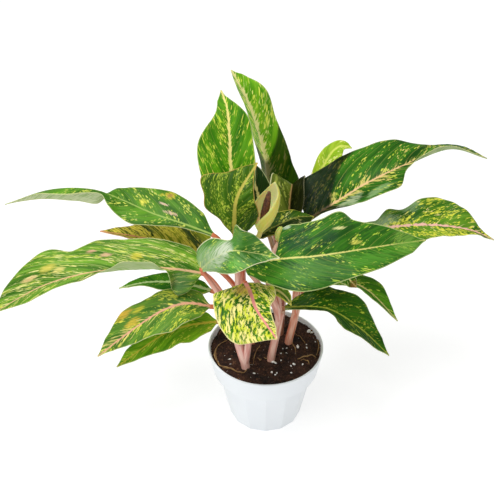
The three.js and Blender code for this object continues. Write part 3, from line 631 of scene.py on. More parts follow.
# midrib is a run of points from the petiole to the tip. face is a run of directions that the upper
# side looks in. left and right are the halves, seen from above with the tip ahead: the widths, the
# angles in degrees that the half lifts from the midrib, or one for all, and the shares of the
# midrib where these hold, unless they are STATIONS. base has both halves' widths at the petiole.
# wave is the height, number and phase of the margin's waves. Of the petiole, start is the share of
# the cane's height where it leaves, lean its bow to the right, and neck its straight upper end.
LEAVES = {
    "leaf_01_upper_left": dict(
        cane="e",
        midrib=[
            (-50, 25, 203.7), (-78, 35, 209.4), (-110.1, 47, 213.7), (-139.2, 56, 223),
            (-168.4, 62, 231.5), (-210.6, 69, 226), (-257.6, 75, 204.6),
        ],
        face=[
            (0.1, -0.3, 1), (0, -0.4, 0.9), (0, -0.4, 0.9), (0, -0.4, 0.9), (0, -0.3, 0.9), (0, -0.3, 0.9),
            (0, -0.1, 1), (0, 1, 0.4), (0, 1, 0.2), (0, 1, 0.2), (0, 1, 0.2), (0, 0.8, 0.5),
        ],
        left=(
            [3, 5, 12, 19, 16, 14, 7, 7, 9, 4], [-40, -30, -10, -5, -5, -5, -60, -85, -80, -60],
            [0.1, 0.2, 0.3, 0.4, 0.5, 0.55, 0.61, 0.68, 0.78, 0.9],
        ),
        right=(
            [17, 29, 17, 13, 15, 16, 13, 6], [5, 5, 0, 5, -20, -20, -20, -10],
            [0.1, 0.3, 0.5, 0.56, 0.62, 0.7, 0.8, 0.9],
        ),
        wave=(2, 3, 0),
    ),
    "leaf_02_mid_left": dict(
        cane="e",
        midrib=[(-56.9, 33, 163.5), (-84.7, 44, 168.6), (-120, 60, 173.3), (-166.5, 76, 170.7)],
        face=[(0, -0.2, 1), (0, -0.2, 1)],
        left=([7, 8, 6, 4, 3], [10, 5, 5, 5, 5]),
        right=([30, 32, 31, 18, 8], 10),
        base=(2.3, 22),
        wave=(2.5, 3, 1),
    ),
    "leaf_03_long_left": dict(
        cane="a",
        midrib=[
            (-60.6, 5, 173.3), (-91.7, 2, 181.1), (-131.4, 0, 182.1),
            (-172.1, -3, 179), (-214.9, -10, 168.2), (-262.1, -20, 143.1),
        ],
        face=[(0, -0.4, 1), (0, -0.4, 1), (-0.3, -0.4, 0.8)],
        left=(
            [22, 29, 24, 4, 10, 12, 10, 4, 8, 11], [-60, -60, -60, 20, 95, 95, 95, 60, 20, 15],
            [0.05, 0.12, 0.17, 0.22, 0.28, 0.36, 0.43, 0.5, 0.62, 0.85],
        ),
        right=(
            [25, 28, 31, 30, 26, 34, 28, 17], [10, 15, 15, 15, 10, 10, 5, 5],
            [0.08, 0.24, 0.4, 0.52, 0.64, 0.73, 0.83, 0.93],
        ),
        base=(2.3, 20),
        wave=(2.5, 3.5, 2),
    ),
    "leaf_04_small_left": dict(
        cane="e",
        midrib=[(-54, 30, 131), (-82, 34, 137), (-116, 40, 134), (-148, 45, 122)],
        face=[(0, -0.2, 1), (0, -0.2, 1)],
        left=([9, 12, 11, 6, 2], 5),
        right=([7, 10, 10, 9, 4], 10),
        wave=(1.5, 2.5, 0),
    ),
    "leaf_05_front_pale": dict(
        cane="a",
        midrib=[(-61, -20, 198), (-48, -27, 216), (-33, -33, 229), (-17, -37, 231), (11, -42, 228)],
        face=[(0.2, -0.6, 0.8), (0, -0.5, 0.9)],
        left=([17, 20, 12, 32, 12], [0, -10, 0, 75, 50], [0.08, 0.25, 0.5, 0.68, 0.86]),
        right=([8, 17, 23, 21, 7], 5),
        base=(14, 4),
        wave=(1, 2.5, 1),
        neck=3,
    ),
    "leaf_06_front_hanging": dict(
        cane="a",
        midrib=[(-20, -24, 185), (-15, -42, 186), (-9, -64, 184), (8, -96, 179)],
        face=[(0, -0.2, 1), (0, -0.4, 0.9)],
        left=([14, 22, 21, 12, 6], [0, 5, 5, 5, 5]),
        right=([30, 35, 37, 38, 33], [0, 5, 5, 5, 5]),
        wave=(2, 2.5, 0),
        start=0.42,
        lean=9,
    ),
    "leaf_07_front_right": dict(
        cane="b",
        midrib=[
            (-19.4, -17, 201.4), (11.6, -31, 218.2), (43.9, -35, 224.7),
            (81.1, -30, 227.7), (114.3, -17, 224.1), (147.3, -4, 219.5),
        ],
        face=[(0, -0.5, 0.9), (0, -0.6, 0.8)],
        left=(
            [3, 29, 32, 33, 37, 29, 20, 9], [5, 5, 10, 10, 25, 10, 10, 5],
            [0.17, 0.21, 0.32, 0.46, 0.54, 0.61, 0.75, 0.9],
        ),
        right=([20, 34, 28, 21, 11], [0, 5, 5, 5, 5]),
        base=(2.3, 12),
        wave=(2, 3, 3),
    ),
    "leaf_08_right": dict(
        cane="c",
        midrib=[(52, 40, 180), (98, 44, 194), (150, 48, 199), (195, 46, 195), (223, 45, 183)],
        face=[(0, -0.3, 1), (0, -0.3, 1)],
        left=(
            [10, 12, 20, 18, 26, 35, 23, 7], [10, 5, 15, 0, 15, 5, 10, 5],
            [0.1, 0.3, 0.36, 0.43, 0.5, 0.59, 0.7, 0.87],
        ),
        right=([18, 19, 22, 13, 5], [10, 10, 5, 25, 25]),
        wave=(3.5, 3.5, 2),
    ),
    "leaf_09_upper_right": dict(
        cane="c",
        midrib=[
            (40.2, 43, 208.3), (67.5, 57, 219.6), (97.7, 70, 233),
            (140.6, 84, 248.1), (180.6, 98, 255.2), (218.9, 105, 239.1),
        ],
        face=[(-0.1, -0.6, 0.8), (0, -0.5, 0.9), (0, -0.2, 0.9), (0, 0.25, 0.8), (0, 0.1, 0.8)],
        left=([37, 35, 40, 36, 21, 12], [5, 10, 5, 5, 5, 5], [0.1, 0.3, 0.5, 0.6, 0.7, 0.9]),
        right=(
            [4, 15, 23, 25, 7, 5, 4, 4], [30, 15, 15, 10, 10, 50, 50, 20],
            [0.1, 0.3, 0.4, 0.51, 0.565, 0.62, 0.7, 0.9],
        ),
        base=(28, 2.3),
        wave=(2.5, 3, 0),
    ),
    "leaf_10_lime_behind": dict(
        cane="d",
        midrib=[
            (46.1, 84, 197), (51.8, 96, 221.4), (63.3, 105, 242.6), (74.2, 110, 250), (85.2, 110, 247.6),
        ],
        face=[(-0.3, -0.6, 0.6), (-0.2, -0.4, 0.9)],
        left=([8, 8, 10, 7, 4], 10),
        right=([12, 18, 16, 9, 3], 10),
        wave=(1.5, 2.5, 0),
    ),
    "leaf_11_centre_back": dict(
        cane="d",
        midrib=[(22, 46, 206), (23, 54, 222), (25, 66, 232), (26, 77, 225), (28, 84, 203)],
        face=[(0, -0.7, 0.6), (0, -0.2, 1), (0, 0.8, 0.3)],
        left=([12, 22, 24, 17, 8], [25, 30, 30, 20, 20]),
        right=([12, 19, 18, 14, 8], [30, 45, 50, 30, 20]),
        wave=(2, 3, 0),
    ),
    "leaf_12_top": dict(
        cane="d",
        midrib=[
            (2.3, 92, 197.5), (1.7, 95, 219.6), (-1, 98, 244.8), (-8.9, 103, 276.1),
            (-17.6, 108, 302.1), (-26.2, 112, 318.4), (-33.7, 116, 331.3),
        ],
        face=[(0.3, -0.9, 0.4), (0.3, -0.8, 0.5)],
        left=([8, 12, 12, 9, 5], -78),
        right=([31, 25, 21, 20, 8], [20, 20, 20, 20, 10]),
        wave=(2, 3, 1),
    ),
    "leaf_13_upper_centre": dict(
        cane="e",
        midrib=[
            (-31.7, 22, 222.3), (-32.5, 30, 252.2), (-33.7, 40, 279),
            (-35, 52, 306.2), (-36.8, 62, 321.5), (-42.4, 75, 332.9),
        ],
        face=[(0, -0.9, 0.5), (0, -0.8, 0.5)],
        left=([21, 28, 30, 15, 7], 5),
        right=([16, 23, 22, 18, 4], 5),
        wave=(2, 3, 0),
    ),
    "leaf_14_centre_front": dict(
        cane="a",
        midrib=[(-29, -3, 221), (-30, -8, 243), (-27, -3, 268), (-9, 22, 288)],
        face=[(0, -0.9, 0.4), (-0.2, -0.7, 0.7)],
        left=([3, 10, 15, 27, 30, 37, 20, 11], 5, [0.1, 0.3, 0.4, 0.5, 0.6, 0.7, 0.8, 0.9]),
        right=([22, 24, 22, 16, 4], [-25, -28, -22, -5, 5]),
        base=(2.3, 18),
        wave=(1, 2.5, 0),
    ),
    "leaf_15_centre_behind": dict(
        cane="d",
        midrib=[(-2, 50, 205), (-8, 58, 228), (-14, 66, 246), (-20, 74, 258)],
        face=[(0, -0.7, 0.7), (0, -0.6, 0.7)],
        left=([9, 14, 13, 10, 4], 5),
        right=([9, 14, 13, 10, 4], 5),
        wave=(1.5, 2.5, 0),
    ),
    "leaf_16_brown_tip": dict(
        cane="c",
        midrib=[(36, 14, 160), (55, 12, 172), (73, 8, 170), (87, 2, 158)],
        face=[(0, -0.2, 1), (0.3, -0.7, 0.7)],
        left=([9, 13, 12, 9, 6], [10, 10, 10, 5, 0]),
        right=([9, 13, 12, 9, 6], [10, 10, 10, 5, 0]),
        wave=(1.5, 2.5, 0),
    ),
    "leaf_17_edge_on": dict(
        cane="b",
        midrib=[
            (-9, 15, 208.5), (-1, 19, 212.5), (12.7, 25, 216.7), (28.9, 31, 220.5), (45.4, 36, 217.5),
        ],
        face=[(0, 0, 1), (0, 0.1, 1)],
        left=([5, 8, 14, 11, 6], [5, 15, 25, 15, 5]),
        right=([5, 6, 11, 14, 9], [-30, -35, -45, -50, -30]),
        wave=(1, 2.5, 0),
    ),
    "leaf_18_lower_left": dict(
        cane="e",
        midrib=[(-54, 0, 136), (-78, -4, 143), (-103, -10, 137), (-132, -22, 122), (-163, -35, 102)],
        face=[(0, -0.3, 1), (-0.2, -0.4, 0.9)],
        left=([14, 24, 25, 17, 6], 5),
        right=([13, 18, 20, 22, 11], 5),
        wave=(2.5, 3, 0),
    ),
    "leaf_19_bottom_left": dict(
        cane="e",
        midrib=[(-48, 12, 106), (-76, 6, 106), (-103, -2, 100), (-147, -25, 79)],
        face=[(0, -0.3, 1), (-0.2, -0.4, 0.9)],
        left=([11, 18, 19, 17, 7], 5),
        right=([12, 18, 18, 15, 9], 5),
        wave=(2, 3, 2),
    ),
    "leaf_20_lower_right": dict(
        cane="b",
        midrib=[(17, -6, 139), (44, -8, 142), (66, -8, 136), (94, -10, 114), (122, -14, 84)],
        face=[(0.1, -0.3, 1), (0.3, -0.4, 0.9)],
        left=([12, 23, 26, 26, 9], 5),
        right=([9, 15, 20, 16, 7], [40, 50, 35, 25, 20]),
        wave=(2.5, 3, 0),
    ),
    "leaf_21_right_behind": dict(
        cane="c",
        midrib=[(50, 36, 136), (76, 38, 138), (104, 34, 126), (133, 22, 98)],
        face=[(0.1, -0.2, 1), (0.4, -0.4, 0.9)],
        left=([10, 15, 15, 16, 7], 5),
        right=([8, 11, 10, 8, 4], [20, 30, 30, 30, 20]),
        wave=(2, 2.5, 0),
    ),
    "leaf_22_young_front": dict(
        cane="b",
        midrib=[(2, -28, 181), (10, -30, 180), (18, -31, 173), (23, -31, 163)],
        face=[(0, -0.4, 1), (0, -0.4, 1)],
        left=([5, 7, 7, 5, 2], 25),
        right=([5, 7, 7, 5, 2], 25),
        wave=(0.5, 2.5, 0),
        neck=3,
    ),
}

# ---- The plantlets ------------------------------------------------------------------------------
# Five young plants share the pot. Each has a short fleshy cane, hidden by the bases of its leaves'
# petioles, which clasp it. They are pink to salmon, with pale streaks.

ROOTED_DEPTH = 24
CANE_STEPS = 30
CANE_TAPER = 0.1
PETIOLE_START = 0.85
PETIOLE_BASE = 0.85
PETIOLE_CLIMB = 0.4
PETIOLE_NECK = 14
PETIOLE_SINK = 0.6
PETIOLE_REACH = 0.012
PETIOLE_SIDES = 14
PETIOLE_STEPS = 40
CHANNEL_DEPTH = 0.16
CHANNEL_REACH = 0.5
STREAK_PACE = 1.1

# Each plantlet's cane, with the deep and pale tints of its streaks and the tint near its blades.
PLANTLETS = {
    "a": dict(foot=(-20, -28), top=(-28, -21, 112), radius=4.6, tints=("cf8c80", "e8c0b2", "c4653f")),
    "b": dict(foot=(5, -17), top=(14, -10, 138), radius=4.1, tints=("cc8a78", "e6bba8", "bd7f55")),
    "c": dict(foot=(23, 8), top=(31, 16, 122), radius=4.1, tints=("d87c5c", "f2c0a6", "dc8a62")),
    "d": dict(foot=(15, 21), top=(18, 30, 128), radius=3.4, tints=("8a4a3a", "c08a70", "8f7a45")),
    "e": dict(foot=(-14, 10), top=(-24, 20, 128), radius=4.4, tints=("b85a3c", "dd9a7c", "c56e42")),
}
# The stalks of the flower and the bud. ripeness is how far the tint has turned at the upper end.
STALKS = [
    dict(
        cane="e", radius=2.4, ripeness=2.2,
        route=[(-22, 19, 150), (-22, 14, 190), (-15, 7, 208), (-8, 6, 216), (-6, 7, 222)],
    ),
    dict(
        cane="b", radius=1.9, ripeness=0.6,
        route=[(14, -10, 136), (8, -6, 180), (6, -4, 202), (11, 0, 214.3)],
    ),
]


def number(mesh, name, values):
    """Gives a mesh a vector at each of its points, which its material reads."""
    attribute = mesh.attributes.new(name, "FLOAT_VECTOR", "POINT")
    attribute.data.foreach_set("vector", np.asarray(values, np.float32).ravel())


def numbered(tree, name):
    """The vector that number gave a mesh, as a socket of its material."""
    return wire(tree, "ShaderNodeAttribute", attribute_name=name).outputs["Vector"]


def blend_colours(tree, amount, first, second, way="MIX"):
    """The colour that lies an amount from 0 to 1 of the way from the first to the second."""
    mixer = tree.nodes.new("ShaderNodeMix")
    mixer.data_type = "RGBA"
    mixer.blend_type = way
    for socket, value in ((mixer.inputs[0], amount), (mixer.inputs[6], first), (mixer.inputs[7], second)):
        if isinstance(value, bpy.types.NodeSocket):
            tree.links.new(value, socket)
        else:
            socket.default_value = value
    return mixer.outputs[2]


def rise(tree, value, low, high):
    """0 below low, 1 above high, and smooth between them. With low above high it falls."""
    inputs = {"Value": value, "From Min": low, "From Max": high}
    made = wire(tree, "ShaderNodeMapRange", inputs, interpolation_type="SMOOTHSTEP")
    return made.outputs["Result"]


def streak(tree, place, across, along, **settings):
    """Noise drawn out along a surface. across and along are its grain's sizes, in millimetres."""
    sizes = {0: place, 1: (1 / across, 1 / along, 1)}
    stretched = wire(tree, "ShaderNodeVectorMath", sizes, operation="MULTIPLY").outputs[0]
    inputs = {"Vector": stretched, "Scale": 1, "Detail": 2, **settings}
    return wire(tree, "ShaderNodeTexNoise", inputs).outputs["Fac"]


def stalk_finish(name, deep, pale, top):
    """A petiole's skin: deep and pale pink streaks, and another tint near the blade."""
    material, tree, shader = finish(name, 0.42, Specular_IOR_Level=0.45)
    place = numbered(tree, "stalk_place")
    height = split(tree, place)[2]
    fine = streak(tree, place, 0.9, 40, Detail=3)
    broad = streak(tree, place, 3, 25)
    skin = colour(deep)
    for value, low, high, tint in (
        (broad, 0.35, 0.65, pale),
        (fine, 0.55, 0.75, "f0d9c4"),
        (height, 0.35, 0.95, top),
        (height, 1.1, 1.6, "cdbf62"),
    ):
        skin = blend_colours(tree, rise(tree, value, low, high), skin, colour(tint))
    tree.links.new(skin, shader.inputs["Base Color"])
    add_bump(tree, shader, fine, 0.5, 0.4)
    return material


def cane_path(plantlet, share):
    """The points at each share of the way up a plantlet's cane, from its foot in the soil."""
    foot = np.array([*plantlet["foot"], SOIL_Z])
    top = np.array(plantlet["top"], float)
    return spline([foot - (0, 0, ROOTED_DEPTH), foot, (foot + top) / 2, top], share)


def petiole_path(leaf):
    """From the cane up and out into the blade, as a cubic curve that ends inside the midrib."""
    ends = spline(leaf["midrib"], np.array([0, 0.0001, PETIOLE_REACH]))
    outward = unit(ends[1] - ends[0])
    start = cane_path(PLANTLETS[leaf["cane"]], np.array([leaf.get("start", PETIOLE_START)]))[0]
    end = ends[2] - (0, 0, PETIOLE_SINK)
    climb = PETIOLE_CLIMB * np.linalg.norm(end - start)
    bend = end - leaf.get("neck", PETIOLE_NECK) * outward
    t = np.linspace(0, 1, PETIOLE_STEPS)[:, None]
    corners = (start, start + (leaf.get("lean", 0), 0, climb), bend, end)
    weights = ((1 - t) ** 3, 3 * (1 - t) ** 2 * t, 3 * (1 - t) * t**2, t**3)
    return sum(weight * corner for weight, corner in zip(weights, corners))


def petiole_radii(share, base, top):
    """Radii round a petiole: oval, with a channel on its upper side that fades at its foot."""
    radius = base + (top - base) * np.sqrt(share)
    turns = 2 * np.pi * np.arange(PETIOLE_SIDES) / PETIOLE_SIDES
    channel = CHANNEL_DEPTH * np.exp(-(((turns - np.pi / 2) / CHANNEL_REACH) ** 2))
    return radius[:, None] * (1 - np.sin(np.pi * share)[:, None] * channel)


def run_length(path):
    """How far along a path each of its points is, in millimetres."""
    return np.concatenate([[0], np.cumsum(np.linalg.norm(np.diff(path, axis=0), axis=1))])


for key, plantlet in PLANTLETS.items():
    share = np.linspace(0, 1, CANE_STEPS)
    tubes = [(cane_path(plantlet, share), plantlet["radius"] * (1 - CANE_TAPER * share[:, None]), 0)]
    share = np.linspace(0, 1, PETIOLE_STEPS)
    radii = petiole_radii(share, plantlet["radius"] * PETIOLE_BASE, PETIOLE_TOP_RADIUS)
    tubes += [(petiole_path(leaf), radii, 1) for leaf in LEAVES.values() if leaf["cane"] == key]
    for stalk in STALKS:
        if stalk["cane"] == key:
            radii = np.full(PETIOLE_STEPS, stalk["radius"])
            tubes.append((spline(stalk["route"], share), radii, stalk["ripeness"]))
    points, faces, places = [], [], []
    for path, radii, ripeness in tubes:
        made, joined = tube(path, radii, PETIOLE_SIDES, len(points))
        round_it = np.tile(np.arange(PETIOLE_SIDES) * STREAK_PACE, len(path))
        height = np.linspace(0, ripeness, len(path))
        up_it = np.repeat(np.column_stack([run_length(path), height]), PETIOLE_SIDES, axis=0)
        place = np.column_stack([round_it, up_it])
        places += [*place.tolist(), place[0].tolist(), place[-1].tolist()]
        points += made.tolist()
        faces += joined
    skin = stalk_finish(f"stalk_skin_{key}", *plantlet["tints"])
    plant = mesh_object(f"plantlet_{key}", points, faces, skin)
    number(plant.data, "stalk_place", places)
    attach(plant, "root")
    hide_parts(f"stem_{key}")

# ---- The leaves ---------------------------------------------------------------------------------
# Thin leathery blades, each folded along a raised midrib, with veins that curve out from it to a
# pale waved margin. They grew green, flecked and streaked along the veins in yellow, cream and pink.

ROWS = 110
COLUMNS = 33
BLADE_THICKNESS = 0.6
EDGE_THINNING = 0.6
RIB_TIP_HEIGHT = 0.4
RIB_TAPER = 1.8
RIB_TIP_WIDTH = 0.5
RIB_FLARE = 1.2
MARGIN_LAG = 2.2
CRINKLE_HEIGHT = 0.12
CRINKLE_PACE = 3.7
BASE_ROUNDING = 0.35
ROUNDED_SHARE = 0.2
VEIN_SPACING = 12
VEIN_SLANT = 1.1
VEIN_CURVE = 0.9
PUFF = 0.8
PUFF_REACH = 6
BLADE_SINK = 0.3
LEAF_GLOSS = 0.09


def along(values, share, stations):
    """A quantity given at both ends and at its stations, on a smooth curve through them."""
    places = np.array([0, *stations, 1])
    values = np.asarray(values, float)
    run = np.concatenate([values[:1], values, values[-1:]])
    first = np.clip(np.searchsorted(places, share) - 1, 0, len(places) - 2)
    return cubic(run, first, (share - places[first]) / (places[first + 1] - places[first]))


def shell_faces(rows, columns):
    """The faces of two skins over a grid of points, the first skin's before the second's, joined
    along the grid's four edges."""
    under = rows * columns
    faces = []
    for row in range(rows - 1):
        for column in range(columns - 1):
            corner = row * columns + column
            square = (corner, corner + 1, corner + columns + 1, corner + columns)
            faces += [square, tuple(under + i for i in reversed(square))]
        for column, order in ((0, 1), (columns - 1, -1)):
            corner = row * columns + column
            side = (corner, corner + columns, under + corner + columns, under + corner)
            faces.append(side[::order])
    for row, order in ((0, 1), (rows - 1, -1)):
        for column in range(columns - 1):
            corner = row * columns + column
            end = (corner, under + corner, under + corner + 1, corner + 1)
            faces.append(end[::order])
    return faces


def blade(leaf, slant):
    """The points of a leaf's two skins, both vectors that its material reads, and its length."""
    share = np.linspace(0, 1, ROWS)
    midrib = spline(leaf["midrib"], share)
    heading = unit(spline(leaf["midrib"], share + 1e-4) - spline(leaf["midrib"], share - 1e-4))
    heading[0] = unit(midrib[1] - midrib[0])
    heading[-1] = unit(midrib[-1] - midrib[-2])
    up = spline(leaf["face"], share)
    up = unit(up - heading * (up * heading).sum(1, keepdims=True))
    right = np.cross(heading, up)
    across = np.linspace(-1, 1, COLUMNS)
    reach = np.abs(across)
    width = np.zeros((ROWS, COLUMNS))
    lift = np.zeros((ROWS, COLUMNS))
    base = leaf.get("base", (PETIOLE_TOP_RADIUS, PETIOLE_TOP_RADIUS))
    for half, start, columns in (("left", base[0], across < 0), ("right", base[1], across >= 0)):
        widths, lifts, *own = leaf[half]
        lifts = np.broadcast_to(lifts, len(widths))
        stations = own[0] if own else STATIONS
        width[:, columns] = along([start, *widths, TIP_HALF_WIDTH], share, stations)[:, None]
        lift[:, columns] = along([lifts[0], *lifts, lifts[-1]], share, stations)[:, None]
    lift = np.radians(lift)
    length = run_length(midrib)
    off = reach * width
    share = share[:, None]

    # the margin's waves, the base's round lobes, and the puff of the skin between its veins
    ruffle, waves, phase = leaf["wave"]
    turn = 2 * np.pi * waves * share + phase + np.where(across < 0, MARGIN_LAG, 0)
    swing = ruffle * np.sin(np.pi * share)
    wave = reach**2 * np.sin(turn) * swing
    wave += CRINKLE_HEIGHT * reach**6 * np.sin(CRINKLE_PACE * turn + 1) * swing
    rounding = BASE_ROUNDING * width[0] * reach**2 * np.clip(1 - share / ROUNDED_SHARE, 0, 1) ** 2
    vein = length[:, None] - slant * off - VEIN_CURVE * off * reach
    ridge = np.abs(((vein / VEIN_SPACING) % 1) - 0.5) * 2
    puff = PUFF * (1 - ridge**4) * np.minimum(off / PUFF_REACH, 1) * np.clip((1 - reach) * 5, 0, 1)
    side = np.sign(across) * off
    height = off * np.sin(lift) + wave + puff - BLADE_SINK
    point = midrib[:, None, :] + heading[:, None, :] * rounding[:, :, None]
    point = point + right[:, None, :] * (side * np.cos(lift))[:, :, None]
    point = point + up[:, None, :] * height[:, :, None]

    # the two skins, the lower one thicker along the midrib
    normal = unit(np.cross(np.gradient(point, axis=0), np.gradient(point, axis=1)))
    if (up * normal[:, COLUMNS // 2]).sum() < 0:
        normal = -normal
    half_thick = BLADE_THICKNESS / 2 * (1 - EDGE_THINNING * reach**8)[:, None]
    rib_width = RIB_TIP_WIDTH + RIB_FLARE * (1 - share)
    rib = (RIB_TIP_HEIGHT + RIB_TAPER * (1 - share)) * np.exp(-((off / rib_width) ** 2))
    above = point + normal * half_thick
    below = point - normal * (half_thick + rib[:, :, None])
    points = np.vstack([above.reshape(-1, 3), below.reshape(-1, 3)])
    flat = np.zeros((ROWS, COLUMNS))
    edge = (1 - reach) * width
    leaf_place = [np.dstack([flat + share, flat + length[:, None], edge])] * 2
    vein_place = [np.dstack([vein, side, flat + under]) for under in (0, 1)]
    return points, np.array(leaf_place), np.array(vein_place), length[-1]


# The leaf skin's inputs, each with its value on a leaf that LOOKS gives no other.
SKIN_COLOURS = {
    "Deep": "163f12",
    "Light": "4a8a20",
    "Fleck": "bccb45",
    "Streak": "dcd98a",
    "Rib": "d3c67c",
    "Margin": "c3c88c",
    "Under": "a9b888",
}
SKIN_NUMBERS = {
    "Tone": 0.5,
    "Flecks": 0.3,
    "Fleck Size": 1.0,
    "Fleck Pull": 0.6,
    "Streaks": 0.3,
    "Streak Reach": 14,
    "Mosaic": 0.0,
    "Rib Width": 1.4,
    "Feather": 0.5,
    "Margin Width": 0.5,
    "Vein Tint": 0.15,
    "Base Shade": 0.0,
    "Shade Reach": 40,
    "Right Shade": 0.0,
    "Seed": 0.0,
}
leaf_skin = bpy.data.node_groups.new("leaf_skin", "ShaderNodeTree")
for sockets, kind in ((SKIN_COLOURS, "Color"), (SKIN_NUMBERS, "Float")):
    for socket in sockets:
        leaf_skin.interface.new_socket(socket, in_out="INPUT", socket_type=f"NodeSocket{kind}")
for socket, kind in (("Colour", "Color"), ("Height", "Float"), ("Roughness", "Float")):
    leaf_skin.interface.new_socket(socket, in_out="OUTPUT", socket_type=f"NodeSocket{kind}")


def draw_leaf_skin(tree):
    """The pattern on a leaf: greens, flecks, streaks, mosaic, veins, midrib, margin, painted shade,
    underside.
    """
    given = tree.nodes.new("NodeGroupInput").outputs
    result = tree.nodes.new("NodeGroupOutput").inputs
    plus, minus, times = arithmetic(tree)
    line = partial(maths, tree, "MULTIPLY_ADD")
    divide = partial(maths, tree, "DIVIDE")
    blend, above, grain = (partial(made, tree) for made in (blend_colours, rise, streak))
    share, length, edge = split(tree, numbered(tree, "leaf_place"))
    start, off, under = split(tree, numbered(tree, "vein_place"))
    reach = maths(tree, "ABSOLUTE", off)
    depth = times(given["Seed"], 7.3)

    def spot(x, y):
        return wire(tree, "ShaderNodeCombineXYZ", {0: x, 1: y, 2: depth}).outputs[0]

    def swing(value, size):
        """A noise's swing about its middle, scaled up to a distance."""
        return times(minus(value, 0.5), size)

    plain = spot(start, off)
    bent = plus(start, swing(grain(plain, 9, 14), 6), swing(grain(plain, 1.6, 2.6), 1.6))
    place = spot(bent, off)
    slack = plus(times(minus(bent, length), given["Fleck Pull"]), length)
    frayed = plus(off, swing(grain(plain, 2.2, 1.6, Detail=3), 2))
    loose = spot(slack, frayed)

    fine_tone = grain(place, 2.4, 7, Detail=4, Roughness=0.6)
    shades = plus(grain(place, 20, 24), swing(fine_tone, 0.5), given["Tone"])
    skin = blend(above(shades, 0.72, 1.3), given["Deep"], given["Light"])

    # flecks: dashes, specks and a few blotches along the veins, each in a share of its cells
    crowd = above(grain(loose, 13, 13, Detail=3), 0.36, 0.7)
    density = times(given["Flecks"], line(crowd, 1.7, 0.1))
    for spacing, weight, strength in ((1.1, 0.6, 0.75), (2.0, 0.85, 1.0), (3.6, 0.6, 1.0)):
        size = times(given["Fleck Size"], spacing)
        cell = spot(divide(slack, size), divide(frayed, size))
        cells = wire(tree, "ShaderNodeTexVoronoi", {"Vector": cell, "Scale": 1, "Randomness": 1})
        chance, force, hue = wire(tree, "ShaderNodeSeparateColor", {0: cells.outputs["Color"]}).outputs
        spare = minus(times(density, weight), chance)
        radius = maths(tree, "MINIMUM", times(spare, 2.4), 0.5)
        inside = minus(radius, cells.outputs["Distance"])
        bright = times(above(inside, -0.02, 0.2), line(force, 0.5, strength - 0.4))
        tint = blend(above(hue, 0.6, 0.9), given["Fleck"], given["Streak"])
        skin = blend(bright, skin, tint)

    # streaks: long feathers of cream that leave the midrib along the veins
    feather = grain(place, 2.4, 9, Detail=4, Roughness=0.62)
    fade = above(reach, given["Streak Reach"], 0)
    over = minus(plus(feather, times(given["Streaks"], fade, 0.4)), 0.78)
    skin = blend(times(above(over, -0.04, 0.08), 0.85), skin, given["Streak"])

    # mosaic: ragged patches of cream and of fleck over much of the blade
    patch = grain(loose, 4, 4, Detail=4, Roughness=0.66)
    over = minus(line(given["Mosaic"], 0.32, patch), 0.7)
    mixed = above(grain(loose, 7, 7, Detail=3), 0.42, 0.58)
    broken = blend(mixed, given["Fleck"], given["Streak"])
    skin = blend(above(over, -0.03, 0.03), skin, broken)

    # the veins, then the midrib and the margin
    step = maths(tree, "FRACT", divide(start, VEIN_SPACING))
    gap = times(maths(tree, "ABSOLUTE", minus(step, 0.5)), VEIN_SPACING)
    vein = above(minus(VEIN_SPACING / 2, gap), 0.8, 0.1)
    shown = above(grain(plain, 9, 30), 0.35, 0.6)
    tinted = times(vein, given["Vein Tint"], shown, above(edge, 0.5, 5))
    skin = blend(tinted, skin, given["Streak"])
    half = times(given["Rib Width"], line(share, -0.7, 1))
    wander = times(minus(grain(place, 2.4, 5, Detail=3), 0.42), 6, given["Feather"])
    inside = minus(times(half, plus(wander, 1)), reach)
    skin = blend(above(inside, -0.6, 0.4), skin, given["Rib"])
    margin = times(above(minus(given["Margin Width"], edge), -0.4, 0.2), 0.85)
    skin = blend(margin, skin, given["Margin"])

    # painted shade: the base and the right half darkened where they lie in shadow
    right = times(given["Right Shade"], above(off, -1.5, 1.5))
    base = times(given["Base Shade"], above(minus(given["Shade Reach"], slack), -1, 6))
    lit = minus(1, maths(tree, "MAXIMUM", right, base))
    grey = wire(tree, "ShaderNodeCombineColor", {0: lit, 1: lit, 2: lit}).outputs[0]
    skin = blend(1, skin, grey, "MULTIPLY")

    # the underside: paler and greyer, with the pattern faintly through it
    dim = above(grain(place, 1.6, 5, Detail=4), 0.42, 0.68)
    pale = blend(times(dim, 0.6), given["Under"], given["Light"])
    pale = blend(times(vein, 0.35), pale, given["Margin"])
    pale = blend(margin, pale, given["Margin"])
    tree.links.new(blend(under, skin, pale), result["Colour"])
    tree.links.new(minus(fine_tone, times(vein, 0.5)), result["Height"])
    tree.links.new(line(under, 0.25, line(fine_tone, 0.2, 0.28)), result["Roughness"])


draw_leaf_skin(leaf_skin)
